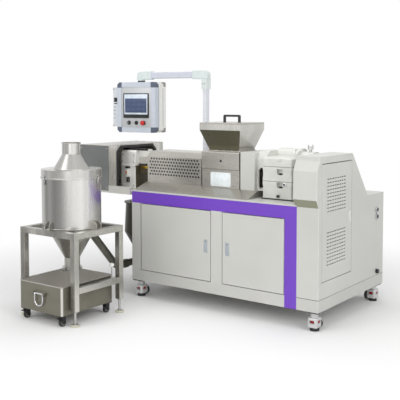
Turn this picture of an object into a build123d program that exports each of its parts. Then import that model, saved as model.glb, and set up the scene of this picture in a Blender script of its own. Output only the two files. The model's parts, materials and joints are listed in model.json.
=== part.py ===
from build123d import *
import os
from math import cos, radians, sin, sqrt, tan

# Twin screw granulator: a cabinet with the extruder line on its deck, a pellet cutter on its left end,
# a cyclone station with a rolling bin in front of the cutter, and an operator box on a swing arm.
# Millimetres. +X runs along the front towards the drive end, +Y to the back, +Z up.
# The origin is on the floor, under the middle of the whole machine's box.

# Cabinet
left_stile_width = 88
left_doorway_width = 640
middle_stile_width = 92
right_doorway_width = 490
trim_leg_width = 88
column_width = 157
cabinet_depth = 1000
cabinet_bottom = 127
plinth_height = 79
front_height = 581
trim_band_height = 83
deck_thickness = 10
sheet = 4
frame_depth = 30
cabinet_corner_radius = 12

# Doors and their pins
door_gap = 5
door_thickness = 22
door_skin = 4
door_rim = 24
hinge_knuckle_radius = 8
hinge_pin_diameter = 6
hinge_pin_bite = 25
hinge_pin_clearance = 0.05
hinge_pin_end_gap = 1
latch_height = 86
latch_width = 26
latch_corner_radius = 6
latch_inset = 45
latch_drop = 209
latch_recess = 2.5
latch_border = 4
latch_lever_height = 3

# Motor housing at the drive end
housing_cheek = 11
housing_overhang = 30
overhang_rise = 51
overhang_face_height = 180
brow_height = 66
brow_setback = 38
fascia_height = 24
roof_depth = 476
rear_slope_run = 249
end_wall = 25
housing_edge_bevel = 5
panel_margin_front = 39
panel_margin_back = 6
panel_margin_low = 103
panel_margin_top = 45
panel_thickness = 16
slot_length = 22
slot_height = 7
slot_spacing_y = 34
slot_spacing_z = 23
slot_columns = 8
slot_rows = 10
slot_group_rise = 207
slot_group_spacing = 342
slot_group_shift = 13.5
socket_diameter = 42
socket_length = 12
socket_bore_diameter = 28
socket_bore_depth = 8
socket_from_back = 124
socket_drop = 141
socket_spacing = 50
gland_diameter = 32
gland_length = 20
gland_from_back = 117
gland_rise = 30

# Levelling casters under the cabinet
caster_inset = 52
caster_plate = 92
caster_plate_thickness = 8
caster_body_clearance = 24
caster_body_width = 66
caster_body_depth = 76
caster_body_height = 62
caster_body_radius = 14
caster_shoulder_radius = 10
caster_neck_diameter = 50
caster_window_rise = 26
caster_window_height = 20
caster_window_width = 34
caster_dial_diameter = 58
caster_dial_gap = 3
caster_dial_clearance = 1.5
caster_pad_diameter = 60
caster_pad_height = 16
caster_pad_radius = 5
caster_stem_diameter = 22
caster_stem_clearance = 0.5
caster_wheel_diameter = 60
caster_wheel_width = 24
caster_wheel_lift = 6
caster_wheel_radius = 6

# Extruder line on the deck, stacked from the drive end towards the cutter
line_axis_back = 305
line_axis_rise = 112
line_half_depth = 145
base_rise = 46
base_margin_left = 10
base_margin_right = 30
apron_front = 15
apron_back = 150
cover_inset = 25
cover_gap = 6
cover_sheet = 3
cover_side_height = 196
cover_chamfer = 38
cover_fold_turn = 45
cover_hole_diameter = 12
cover_hole_rows = 6
cover_hole_margin = 25
cover_hole_spacing_x = 25.2
cover_hole_spacing_z = 23.4
cover_hole_low = 63
barrel_diameter = 110
saddle_width = 60
saddle_depth = 90
saddle_inset = 90
feed_length = 320
feed_lower_height = 132
feed_upper_height = 125
wrap_proud = 4
wrap_edge_radius = 10
throat_length = 130
throat_depth = 100
pillar_gap = 6
pillar_length = 119
pillar_height = 261
pillar_edge_radius = 6

# Feed hopper and its lid
hopper_foot_length = 250
hopper_foot_depth = 190
hopper_foot_flange = 10
hopper_flange_thickness = 5
hopper_length = 346
hopper_depth = 315
hopper_slope_height = 150
hopper_rim_height = 42
hopper_sheet = 3
lid_thickness = 10
lid_seat_gap = 0.3
lid_edge_radius = 3
lid_handle_length = 142
lid_handle_height = 54
lid_handle_bar = 15
lid_handle_radius = 12

# Lantern, shafts and gearbox
lantern_length = 72
lantern_front_reach = 110
lantern_back_reach = 150
lantern_height = 272
lantern_wall = 16
lantern_crown_radius = 70
window_height = 150
window_width = 54
window_rise = 82
shaft_spacing = 64
shaft_diameter = 34
sleeve_diameter = 54
sleeve_length = 40
gear_from_right = 276
gear_length = 227
gear_front = 141
gear_depth = 189
gear_lower_height = 121
gear_cap_rise = 98
gear_cap_height = 63
gear_ledge = 5
gear_groove = 3
gear_flange_height = 26
gear_foot_height = 14
gear_edge_radius = 10
gear_cap_bevel = 9
gear_pocket_width = 45
gear_pocket_height = 39
gear_pocket_depth = 30
gear_pocket_radius = 6
gear_pocket_inset = 91
case_overrun = 46
case_depth = 140
case_height = 332
case_crown_radius = 60
case_tall_length = 173
case_step_drop = 21
eyebolt_inset = 46
eyebolt_from_back = 30
eyebolt_ring = 40
eyebolt_bar = 9
eyebolt_stem_height = 20
breather_inset = 46
breather_neck_diameter = 22
breather_neck_height = 16
breather_cap_diameter = 40
breather_cap_height = 34
breather_cap_radius = 8
sight_diameter = 22
sight_length = 10
sight_inset = 51
sight_drop = 15
drain_diameter = 20
drain_length = 14
drain_inset = 102
drain_rise = 25

# Pellet cutter on the left end
cutter_reach = 512
guard_length = 299
guard_front_out = 20
guard_depth = 650
guard_height = 343
guard_sheet = 3
bed_drop = 37
bed_thickness = 15
bed_beam_height = 40
bed_beam_depth = 20
port_margin = 106
port_lintel = 20
port_chamfer = 35
chamber_clear = 132
chamber_length = 149
chamber_half_depth = 105
chamber_lower_height = 177
chamber_upper_height = 120
chamber_ledge = 8
chamber_top_bevel = 14
die_width = 122
die_height = 130
die_length = 102
die_flange_thickness = 16
die_flange_size = 170
strap_height = 16
strap_width = 22
strap_reach = 90
switch_gap = 3
switch_cap_width = 34
switch_cap_height = 14
switch_width = 26
switch_depth = 24
switch_height = 66
switch_edge_radius = 4
prong_width = 7
prong_depth = 10
prong_length = 44

# Pellet funnel and conveying duct
funnel_inset = 26
funnel_neck_radius = 60
funnel_neck_height = 94
funnel_plate_radius = 142
funnel_plate_thickness = 6
funnel_chute_height = 230
funnel_top_radius = 128
funnel_waist_radius = 140
funnel_outlet_radius = 40
funnel_sheet = 3
duct_diameter = 56
duct_height = 205
duct_bend_radius = 70
duct_tee = 96
duct_riser_gap = 270
duct_riser_length = 225
duct_inlet_rise = 125
duct_inlet_offset = 142
collar_back = 90
collar_width = 30
collar_proud = 6

# Cyclone station
station_from_left = 245
station_gap = 360
station_length = 522
station_depth = 460
station_top = 605
station_tube = 40
station_foot_height = 95
station_rail_height = 230
station_foot_diameter = 60
station_foot_disc = 14
station_foot_radius = 5
station_stem_diameter = 16
cyclone_radius = 200
cyclone_sheet = 3
cyclone_shell_height = 331
cyclone_cone_radius = 172
cyclone_cone_height = 215
cyclone_outlet_radius = 53
cyclone_outlet_length = 85
cyclone_lid_height = 61
cyclone_lid_proud = 4
cyclone_lip = 4
cyclone_lip_height = 8
cyclone_dome_foot_radius = 120
cyclone_neck_radius = 63
cyclone_dome_height = 98
cyclone_neck_height = 79
lug_width = 46
lug_height = 52
lug_thickness = 5
lug_margin = 5
lug_bevel = 20
clamp_radius = 66
clamp_height = 22
clamp_bolt_length = 24
clamp_bolt_width = 14

# Rolling bin
bin_length = 408
bin_depth = 475
bin_front_reach = 60
bin_bottom = 74
bin_height = 186
bin_sheet = 2.5
bin_corner_radius = 18
bail_width = 113
bail_drop = 78
bail_bar = 9
bail_bend_radius = 6
bail_bow_radius = 36
bail_pivot_drop = 64
bail_plate_thickness = 4
bail_plate_height = 30
bail_lug_width = 10
bail_lug_depth = 18
bail_clearance = 0.3
bin_wheel_diameter = 50
bin_wheel_width = 22
bin_wheel_radius = 4
bin_wheel_inset = 34
fork_plate = 56
fork_plate_thickness = 6
fork_cheek = 4
fork_side_gap = 2
fork_shoulder_width = 40
fork_eye_width = 20
axle_diameter = 8
axle_clearance = 0.05

# Operator box on its swing arm
post_from_left = 250
post_back = 600
post_height = 837
post_width = 33
post_depth = 48
post_edge_radius = 6
post_flange = 100
post_flange_thickness = 10
post_collar_height = 80
post_collar_proud = 8
arm_turn = 8.5
arm_length = 597
arm_height = 52
arm_width = 38
arm_edge_radius = 7
elbow_reach = 110
elbow_proud = 8
elbow_bend_radius = 34
elbow_edge_radius = 5
swivel_gap = 0.3
hub_drop = 28
hub_diameter = 58
box_width = 365
box_depth = 166
box_height = 408
box_bevel = 20
box_face_border = 40
box_face_recess = 4
corner_size = 44
corner_depth = 52
screen_width = 242
screen_height = 200
screen_thickness = 8
screen_radius = 5
screen_drop = 90
display_width = 214
display_height = 160
display_drop = 8
display_recess = 2
control_spacing = 71
control_drop = 329
control_ring_diameter = 28
control_ring_height = 4
knob_diameter = 20
knob_length = 16
selector_bar_width = 7
button_diameter = 36
button_height = 9
button_radius = 4
wing_width = 53
wing_depth = 30
wing_inset = 14
wing_height = 320
wing_drop = 42
wing_edge_radius = 5

# Cuts run past the faces that they open by this much
overrun = 5

# Datums worked out from the sizes above
arm_cos = cos(radians(arm_turn))
arm_sin = sin(radians(arm_turn))
cabinet_length = (left_stile_width + left_doorway_width + middle_stile_width + right_doorway_width
                  + trim_leg_width + column_width)
wing_rear = box_depth / 2 - wing_inset - wing_depth
box_reach = (cabinet_length - post_from_left + arm_cos * (arm_length + box_width / 2 + wing_width)
             - arm_sin * wing_rear - wing_edge_radius * (arm_cos + arm_sin - 1))
bail_reach = bail_plate_thickness + bail_lug_depth
front_reach = station_gap + station_depth + bin_front_reach + bail_reach
x_right = (max(cabinet_length + cutter_reach, box_reach) - gland_length) / 2
x_left = x_right - cabinet_length
x_middle = (x_left + x_right) / 2
y_front = (front_reach - cabinet_depth) / 2
y_back = y_front + cabinet_depth
z_plinth = cabinet_bottom + plinth_height
z_top = z_plinth + front_height
z_deck = z_top + deck_thickness
z_band = z_top - trim_band_height
z_line = z_deck + base_rise
x_left_doorway = x_left + left_stile_width
x_middle_stile = x_left_doorway + left_doorway_width
x_right_doorway = x_middle_stile + middle_stile_width
x_leg = x_right_doorway + right_doorway_width
x_column = x_leg + trim_leg_width

# Upright solids stand on the middle of their foot
on_foot = (Align.CENTER, Align.CENTER, Align.MIN)


def along(distance):
    """X of a point this far from the cabinet's right end."""
    return x_right - distance


def rear(distance):
    """Y of a point this far behind the cabinet's front."""
    return y_front + distance


def block(x0, x1, y0, y1, z0, z1, mode=Mode.ADD):
    """Add a block between two corners to the piece being built."""
    with Locations(((x0 + x1) / 2, (y0 + y1) / 2, (z0 + z1) / 2)):
        Box(x1 - x0, y1 - y0, z1 - z0, mode=mode)


def post_on(spots, radius, z0, z1, mode=Mode.ADD):
    """Add upright cylinders on a list of (x, y) spots."""
    with Locations(*[(x, y, z0) for x, y in spots]):
        Cylinder(radius, z1 - z0, align=on_foot, mode=mode)


def write(piece, name):
    """Label a finished piece and write it to its own file."""
    piece.label = name
    export_step(piece, f"parts/{name}.step")


os.makedirs("parts", exist_ok=True)

# Base plinth, notched for the trim leg
with BuildPart() as base_plinth:
    block(x_left, x_right, y_front, y_back, cabinet_bottom, z_plinth)
    fillet(base_plinth.edges().filter_by(Axis.Z).group_by(Axis.Y)[0], cabinet_corner_radius)
    block(x_leg, x_column, y_front, y_front + frame_depth, cabinet_bottom, z_plinth, Mode.SUBTRACT)
write(base_plinth.part, "base_plinth")

# Cabinet sheets
with BuildPart() as left_end_panel:
    block(x_left, x_left + sheet, y_front + frame_depth, y_back, z_plinth, z_top)
write(left_end_panel.part, "left_end_panel")

with BuildPart() as back_panel:
    block(x_left + sheet, x_column, y_back - sheet, y_back, z_plinth, z_top)
write(back_panel.part, "back_panel")

with BuildPart() as deck_plate:
    block(x_left, x_column, y_front, y_back, z_top, z_deck)
    fillet(deck_plate.edges().filter_by(Axis.Z).group_by(Axis.Y)[0].sort_by(Axis.X)[0], cabinet_corner_radius)
write(deck_plate.part, "deck_plate")

# Front frame: two stiles and the coloured band that turns down beside the right door
y_frame = y_front + frame_depth
with BuildPart() as front_stiles:
    block(x_left, x_left_doorway, y_front, y_frame, z_plinth, z_band)
    fillet(front_stiles.edges().filter_by(Axis.Z).group_by(Axis.Y)[0].sort_by(Axis.X)[0], cabinet_corner_radius)
    block(x_middle_stile, x_right_doorway, y_front, y_frame, z_plinth, z_band)
write(front_stiles.part, "front_stiles")

with BuildPart() as purple_trim:
    block(x_left, x_column, y_front, y_frame, z_band, z_top)
    fillet(purple_trim.edges().filter_by(Axis.Z).group_by(Axis.Y)[0].sort_by(Axis.X)[0], cabinet_corner_radius)
    block(x_leg, x_column, y_front, y_frame, cabinet_bottom, z_band)
write(purple_trim.part, "purple_trim")

# Motor housing: a shell with an overhanging brow in front and a sloping back
z_overhang = z_top + overhang_rise
z_face = z_overhang + overhang_face_height
z_brow = z_face + brow_height
z_roof = z_brow + fascia_height
y_brow = y_front - housing_overhang + brow_setback
upper_outline = [
    (y_front - housing_overhang, z_overhang),
    (y_front - housing_overhang, z_face),
    (y_brow, z_brow),
    (y_brow, z_roof),
    (rear(roof_depth), z_roof),
    (rear(roof_depth + rear_slope_run), z_deck),
]
back_outline = [(y_back, z_deck), (y_back, z_plinth)]
column_outline = [(y_front, z_plinth), (y_front, z_top)] + upper_outline + back_outline
y_underside = y_front - housing_overhang * deck_thickness / overhang_rise
cheek_outline = [(y_underside, z_deck)] + upper_outline
y_panel = rear(panel_margin_front)
y_panel_end = rear(roof_depth - panel_margin_back)
z_panel = z_plinth + panel_margin_low
z_panel_end = z_roof - panel_margin_top
with BuildPart() as motor_housing:
    with BuildSketch(Plane.YZ.offset(x_column)):
        with BuildLine():
            Polyline(*column_outline, close=True)
        make_face()
    extrude(amount=column_width)
    with BuildSketch(Plane.YZ.offset(x_column - housing_cheek)):
        with BuildLine():
            Polyline(*cheek_outline, close=True)
        make_face()
    extrude(amount=housing_cheek)
    end_edges = motor_housing.faces().sort_by(Axis.X)[-1].edges()
    chamfer(end_edges.filter_by_position(Axis.Y, y_front - housing_overhang, y_brow), housing_edge_bevel)
    with BuildSketch(Plane.YZ.offset(x_column + sheet)):
        with BuildLine():
            Polyline(*column_outline, close=True)
        make_face()
        offset(amount=-sheet, kind=Kind.INTERSECTION, mode=Mode.REPLACE)
    extrude(amount=column_width - sheet - end_wall, mode=Mode.SUBTRACT)
    block(x_right - end_wall - overrun, x_right + overrun, y_panel, y_panel_end, z_panel, z_panel_end,
          Mode.SUBTRACT)
write(motor_housing.part, "motor_housing")

# Door pins: each seats on the frame and runs in the door's edge
y_door_pin = y_front + hinge_knuckle_radius
left_door_pin = (x_left_doorway + door_gap + hinge_knuckle_radius, y_door_pin)
right_door_pin = (x_leg - door_gap - hinge_knuckle_radius, y_door_pin)
panel_pin = (x_right - hinge_knuckle_radius, y_panel + door_gap + hinge_knuckle_radius)
pin_radius = hinge_pin_diameter / 2
pin_reach = door_gap + hinge_pin_bite
with BuildPart() as hinge_pins:
    post_on([left_door_pin, right_door_pin], pin_radius, z_plinth, z_plinth + pin_reach)
    post_on([left_door_pin, right_door_pin], pin_radius, z_band - pin_reach, z_band)
    post_on([panel_pin], pin_radius, z_panel, z_panel + pin_reach)
    post_on([panel_pin], pin_radius, z_panel_end - pin_reach, z_panel_end)
write(hinge_pins.part, "hinge_pins")


def pin_bores(pin, z0, z1):
    """Bore the lower and upper edge of a door for its pins."""
    bore = pin_radius + hinge_pin_clearance
    depth = hinge_pin_bite + hinge_pin_end_gap
    post_on([pin], bore, z0, z0 + depth, Mode.SUBTRACT)
    post_on([pin], bore, z1 - depth, z1, Mode.SUBTRACT)


# Front doors: folded pans with a flush latch beside the middle stile
z_door = z_plinth + door_gap
z_door_end = z_band - door_gap
z_latch = z_band - latch_drop - latch_height / 2


def front_door(door, x0, x1, pin, latch_x):
    """Build a folded door between x0 and x1, hinged at the pin."""
    block(x0, x1, y_front, y_front + door_thickness, z_door, z_door_end)
    front_edges = door.edges().filter_by(Axis.Z).group_by(Axis.Y)[0]
    fillet(front_edges.sort_by_distance(Vertex(pin[0], pin[1], z_door))[0], hinge_knuckle_radius)
    block(x0 + door_rim, x1 - door_rim, y_front + door_skin, y_front + door_thickness,
          z_door + door_rim, z_door_end - door_rim, Mode.SUBTRACT)
    pin_bores(pin, z_door, z_door_end)
    with BuildSketch(Plane.XZ.offset(-y_front)) as recess:
        with Locations((latch_x, z_latch)):
            RectangleRounded(latch_width, latch_height, latch_corner_radius)
    extrude(recess.sketch, amount=-latch_recess, mode=Mode.SUBTRACT)
    with BuildSketch(Plane.XZ.offset(-y_front - latch_recess)) as lever:
        with Locations((latch_x, z_latch)):
            RectangleRounded(
                latch_width - latch_border - latch_border,
                latch_height - latch_border - latch_border,
                latch_corner_radius - latch_border / 2,
            )
    extrude(lever.sketch, amount=latch_lever_height)


with BuildPart() as left_door:
    front_door(left_door, x_left_doorway + door_gap, x_middle_stile - door_gap, left_door_pin,
               x_middle_stile - latch_inset)
write(left_door.part, "left_door")

with BuildPart() as right_door:
    front_door(right_door, x_right_doorway + door_gap, x_leg - door_gap, right_door_pin,
               x_right_doorway + latch_inset)
write(right_door.part, "right_door")

# Service panel in the drive end: a folded pan with two groups of slots
y_slots = (y_panel + y_panel_end) / 2 - slot_group_shift
z_slots = z_panel + slot_group_rise
with BuildPart() as service_panel:
    block(x_right - panel_thickness, x_right, y_panel + door_gap, y_panel_end - door_gap,
          z_panel + door_gap, z_panel_end - door_gap)
    hinge_edge = service_panel.edges().filter_by(Axis.Z).group_by(Axis.Y)[0].sort_by(Axis.X)[-1]
    fillet(hinge_edge, hinge_knuckle_radius)
    block(x_right - panel_thickness, x_right - door_skin, y_panel + door_gap + door_rim,
          y_panel_end - door_gap - door_rim, z_panel + door_gap + door_rim,
          z_panel_end - door_gap - door_rim, Mode.SUBTRACT)
    pin_bores(panel_pin, z_panel + door_gap, z_panel_end - door_gap)
    with BuildSketch(Plane.YZ.offset(x_right + overrun)):
        with Locations((y_slots, z_slots), (y_slots, z_slots + slot_group_spacing)):
            with GridLocations(slot_spacing_y, slot_spacing_z, slot_columns, slot_rows):
                Rectangle(slot_length, slot_height)
    extrude(amount=-(door_skin + overrun + overrun), mode=Mode.SUBTRACT)
write(service_panel.part, "service_panel")

# Sockets and cable gland on the drive end
y_sockets = y_back - socket_from_back
z_sockets = z_deck - socket_drop
with BuildPart() as side_sockets:
    with BuildSketch(Plane.YZ.offset(x_right)):
        with Locations((y_sockets, z_sockets)):
            with GridLocations(0, socket_spacing, 1, 2):
                Circle(socket_diameter / 2)
    extrude(amount=socket_length)
    with BuildSketch(Plane.YZ.offset(x_right + socket_length)):
        with Locations((y_sockets, z_sockets)):
            with GridLocations(0, socket_spacing, 1, 2):
                Circle(socket_bore_diameter / 2)
    extrude(amount=-socket_bore_depth, mode=Mode.SUBTRACT)
    with BuildSketch(Plane.YZ.offset(x_right)):
        with Locations((y_back - gland_from_back, z_plinth + gland_rise)):
            RegularPolygon(gland_diameter / 2, 6)
    extrude(amount=gland_length)
write(side_sockets.part, "side_sockets")

# Levelling casters: a plate, neck and windowed body under each corner
front_casters = [(x, y_front + caster_inset) for x in (x_left + caster_inset, x_right - caster_inset)]
rear_casters = [(x, y_back - caster_inset) for x in (x_left + caster_inset, x_right - caster_inset)]
caster_spots = front_casters + rear_casters
z_caster_plate = cabinet_bottom - caster_plate_thickness
z_window = caster_body_clearance + caster_window_rise
z_window_end = z_window + caster_window_height
with BuildPart() as levelling_casters:
    with Locations(*[(x, y, caster_body_clearance) for x, y in caster_spots]):
        Box(caster_body_width, caster_body_depth, caster_body_height, align=on_foot)
    fillet(levelling_casters.edges().filter_by(Axis.Z), caster_body_radius)
    fillet(levelling_casters.edges().group_by(Axis.Z)[-1], caster_shoulder_radius)
    post_on(caster_spots, caster_neck_diameter / 2, z_window_end, z_caster_plate)
    post_on(caster_spots, caster_dial_diameter / 2 + caster_dial_clearance, z_window, z_window_end,
            Mode.SUBTRACT)
    post_on(caster_spots, caster_stem_diameter / 2 + caster_stem_clearance, caster_body_clearance, z_window,
            Mode.SUBTRACT)
    for x, y in caster_spots:
        half_window = caster_window_width / 2
        block(x - caster_body_width, x + caster_body_width, y - half_window, y + half_window,
              z_window, z_window_end, Mode.SUBTRACT)
        block(x - half_window, x + half_window, y - caster_body_depth, y + caster_body_depth,
              z_window, z_window_end, Mode.SUBTRACT)
    with Locations(*[(x, y, z_caster_plate) for x, y in caster_spots]):
        Box(caster_plate, caster_plate, caster_plate_thickness, align=on_foot)
write(levelling_casters.part, "levelling_casters")

# Caster pads on their screws with the levelling dials, and wheels that are off the floor while it stands level
z_caster_wheel = caster_wheel_lift + caster_wheel_diameter / 2
with BuildPart() as caster_pads:
    for x, y in front_casters:
        y_wheel = y + (caster_body_depth + caster_wheel_width) / 2
        with Locations(Location((x, y_wheel, z_caster_wheel), (90, 0, 0))):
            Cylinder(caster_wheel_diameter / 2, caster_wheel_width)
    for x, y in rear_casters:
        inward = (caster_body_width + caster_wheel_width) / 2
        x_wheel = x + inward if x < x_middle else x - inward
        with Locations(Location((x_wheel, y, z_caster_wheel), (0, 90, 0))):
            Cylinder(caster_wheel_diameter / 2, caster_wheel_width)
    fillet(caster_pads.edges().filter_by(GeomType.CIRCLE), caster_wheel_radius)
    post_on(caster_spots, caster_pad_diameter / 2, 0, caster_pad_height)
    pad_edges = caster_pads.edges().filter_by(GeomType.CIRCLE)
    fillet(pad_edges.filter_by_position(Axis.Z, caster_pad_height, caster_pad_height), caster_pad_radius)
    post_on(caster_spots, caster_stem_diameter / 2, caster_pad_height, z_window_end)
    post_on(caster_spots, caster_dial_diameter / 2, z_window + caster_dial_gap, z_window_end - caster_dial_gap)
write(caster_pads.part, "caster_pads")

# Places along the extruder line
x_gear_end = along(gear_from_right)
x_gear = x_gear_end - gear_length
x_lantern = x_gear - lantern_length
x_pillar = x_lantern - pillar_length
x_feed_end = x_pillar - pillar_gap
x_feed = x_feed_end - feed_length
x_cover_end = x_feed - cover_gap
x_cover = x_left + cover_inset
cover_length = x_cover_end - x_cover
cover_hole_run = cover_length - cover_hole_margin - cover_hole_margin
cover_hole_count = int(cover_hole_run / cover_hole_spacing_x) + 1
x_chamber_end = x_left - chamber_clear
x_chamber = x_chamber_end - chamber_length
y_line = rear(line_axis_back)
y_line_front = y_line - line_half_depth
y_line_back = y_line + line_half_depth
z_axis = z_line + line_axis_rise

# Stainless base of the extruder line, with its sloped apron
x_base = x_cover - base_margin_left
with BuildPart() as barrel_base:
    with BuildSketch(Plane.YZ.offset(x_base)):
        with BuildLine():
            Polyline(
                (rear(apron_front), z_deck),
                (rear(apron_back), z_line),
                (y_line_back, z_line),
                (y_line_back, z_deck),
                close=True,
            )
        make_face()
    extrude(amount=x_lantern + base_margin_right - x_base)
write(barrel_base.part, "barrel_base")

# Perforated barrel cover: one folded sheet with staggered rows of holes in its front
z_cover_side = z_line + cover_side_height
z_cover = z_cover_side + cover_chamfer


def cover_outline(inset):
    """Points of the cover's section, moved in by a wall thickness."""
    slope_inset = inset * tan(radians(cover_fold_turn / 2))
    return [
        (y_line_front + inset, z_line),
        (y_line_front + inset, z_cover_side - slope_inset),
        (y_line_front + cover_chamfer + slope_inset, z_cover - inset),
        (y_line_back - cover_chamfer - slope_inset, z_cover - inset),
        (y_line_back - inset, z_cover_side - slope_inset),
        (y_line_back - inset, z_line),
    ]


hole_spots = []
for row in range(cover_hole_rows):
    row_count = cover_hole_count - row % 2
    row_start = (x_cover + x_cover_end) / 2 - (row_count - 1) * cover_hole_spacing_x / 2
    row_height = z_line + cover_hole_low + row * cover_hole_spacing_z
    for column in range(row_count):
        hole_spots.append((row_start + column * cover_hole_spacing_x, row_height))
with BuildPart() as barrel_cover:
    with BuildSketch(Plane.YZ.offset(x_cover)):
        with BuildLine():
            Polyline(*cover_outline(0), close=True)
        make_face()
        with BuildLine():
            Polyline(*cover_outline(cover_sheet), close=True)
        make_face(mode=Mode.SUBTRACT)
    extrude(amount=cover_length)
    with BuildSketch(Plane.XZ.offset(-y_line_front + overrun)):
        with Locations(*hole_spots):
            Circle(cover_hole_diameter / 2)
    extrude(amount=-(cover_sheet + overrun + overrun), mode=Mode.SUBTRACT)
write(barrel_cover.part, "barrel_cover")

# Barrel on two saddles inside the cover
with BuildPart() as barrel:
    with BuildSketch(Plane.YZ.offset(x_chamber_end)):
        with Locations((y_line, z_axis)):
            Circle(barrel_diameter / 2)
    extrude(amount=x_feed - x_chamber_end)
    for saddle_x in (x_cover + saddle_inset, x_cover_end - saddle_inset):
        block(saddle_x - saddle_width / 2, saddle_x + saddle_width / 2, y_line - saddle_depth / 2,
              y_line + saddle_depth / 2, z_line, z_axis)
write(barrel.part, "barrel")

# Feed zone: a lower block, a wrapped upper cover and the painted pillar beside them
z_wrap = z_line + feed_lower_height
z_feed = z_wrap + feed_upper_height
x_hopper = (x_feed + x_feed_end) / 2
y_hopper = y_line


def throat(z0, z1):
    """Cut the feed throat under the hopper."""
    block(x_hopper - throat_length / 2, x_hopper + throat_length / 2, y_hopper - throat_depth / 2,
          y_hopper + throat_depth / 2, z0, z1, Mode.SUBTRACT)


with BuildPart() as feed_housing:
    block(x_feed, x_feed_end, y_line_front, y_line_back, z_line, z_wrap)
    throat(z_wrap - feed_lower_height / 2, z_wrap)
write(feed_housing.part, "feed_housing")

with BuildPart() as feed_wrap:
    block(x_feed, x_feed_end, y_line_front - wrap_proud, y_line_back + wrap_proud, z_wrap, z_feed)
    fillet(feed_wrap.edges().filter_by(Axis.X).group_by(Axis.Z)[-1], wrap_edge_radius)
    throat(z_wrap, z_feed)
write(feed_wrap.part, "feed_wrap")

with BuildPart() as guard_pillar:
    block(x_pillar, x_lantern, y_line_front, y_line_back, z_line, z_line + pillar_height)
    fillet(guard_pillar.edges().filter_by(Axis.Z), pillar_edge_radius)
    fillet(guard_pillar.edges().group_by(Axis.Z)[-1], pillar_edge_radius / 2)
write(guard_pillar.part, "guard_pillar")

# Feed hopper: a flanged, tapered sheet funnel with an upright rim
z_hopper_rim = z_feed + hopper_slope_height
z_hopper_top = z_hopper_rim + hopper_rim_height
with BuildPart() as hopper:
    for inset, mode in ((0, Mode.ADD), (hopper_sheet, Mode.SUBTRACT)):
        wall = inset + inset
        with BuildSketch(Plane.XY.offset(z_feed)):
            with Locations((x_hopper, y_hopper)):
                Rectangle(hopper_foot_length - wall, hopper_foot_depth - wall)
        with BuildSketch(Plane.XY.offset(z_hopper_rim)):
            with Locations((x_hopper, y_hopper)):
                Rectangle(hopper_length - wall, hopper_depth - wall)
        loft(mode=mode)
        with BuildSketch(Plane.XY.offset(z_hopper_rim)):
            with Locations((x_hopper, y_hopper)):
                Rectangle(hopper_length - wall, hopper_depth - wall)
        extrude(amount=hopper_rim_height, mode=mode)
    with BuildSketch(Plane.XY.offset(z_feed)):
        with Locations((x_hopper, y_hopper)):
            Rectangle(hopper_foot_length + hopper_foot_flange + hopper_foot_flange,
                      hopper_foot_depth + hopper_foot_flange + hopper_foot_flange)
            Rectangle(hopper_foot_length - hopper_sheet, hopper_foot_depth - hopper_sheet, mode=Mode.SUBTRACT)
    extrude(amount=hopper_flange_thickness)
write(hopper.part, "hopper")

# Lift-off lid with its bow handle
z_lid = z_hopper_top + lid_seat_gap
z_lid_top = z_lid + lid_thickness
with BuildPart() as hopper_lid:
    with BuildSketch(Plane.XY.offset(z_lid)):
        with Locations((x_hopper, y_hopper)):
            Rectangle(hopper_length, hopper_depth)
    extrude(amount=lid_thickness)
    fillet(hopper_lid.edges().group_by(Axis.Z)[-1], lid_edge_radius)
write(hopper_lid.part, "hopper_lid")

with BuildPart() as lid_handle:
    with BuildSketch(Plane.XZ.offset(lid_handle_bar / 2 - y_hopper)) as handle_bow:
        with Locations((x_hopper, z_lid_top + lid_handle_height / 2)):
            Rectangle(lid_handle_length, lid_handle_height)
        fillet(handle_bow.vertices().group_by(Axis.Y)[-1], lid_handle_radius)
        with Locations((x_hopper, z_lid_top + (lid_handle_height - lid_handle_bar) / 2)):
            Rectangle(lid_handle_length - lid_handle_bar - lid_handle_bar, lid_handle_height - lid_handle_bar,
                      mode=Mode.SUBTRACT)
    extrude(amount=-lid_handle_bar)
write(lid_handle.part, "lid_handle")

# Lantern between the pillar and the gearbox, with an oval window to the two screw shafts inside
y_lantern = y_line - lantern_front_reach
lantern_depth = lantern_front_reach + lantern_back_reach
with BuildPart() as lantern:
    with BuildSketch(Plane.YZ.offset(x_lantern)) as lantern_section:
        with Locations((y_lantern + lantern_depth / 2, z_line + lantern_height / 2)):
            Rectangle(lantern_depth, lantern_height)
        fillet(lantern_section.vertices().group_by(Axis.Y)[-1], lantern_crown_radius)
        offset(amount=-lantern_wall, mode=Mode.SUBTRACT)
    extrude(amount=lantern_length)
    with BuildSketch(Plane.XZ.offset(-y_lantern + overrun)):
        with Locations((x_lantern + lantern_length / 2, z_line + window_rise)):
            SlotOverall(window_height, window_width, rotation=90)
    extrude(amount=-(lantern_wall + overrun + overrun), mode=Mode.SUBTRACT)
write(lantern.part, "lantern")

with BuildPart() as screw_shafts:
    with BuildSketch(Plane.YZ.offset(x_lantern)):
        with Locations((y_line, z_axis)):
            with GridLocations(shaft_spacing, 0, 2, 1):
                Circle(shaft_diameter / 2)
    extrude(amount=lantern_length)
    with BuildSketch(Plane.YZ.offset(x_lantern + (lantern_length - sleeve_length) / 2)):
        with Locations((y_line, z_axis)):
            with GridLocations(shaft_spacing, 0, 2, 1):
                Circle(sleeve_diameter / 2)
    extrude(amount=sleeve_length)
write(screw_shafts.part, "screw_shafts")

# Gearbox casting in two halves, with ledges and grooves at its joints and a foot
y_gear = rear(gear_front)
y_gear_back = y_gear + gear_depth
z_split = z_deck + gear_lower_height
z_cap_line = z_split + gear_cap_rise
z_gear_top = z_cap_line + gear_cap_height
x_pocket = x_gear_end - gear_pocket_inset


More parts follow.
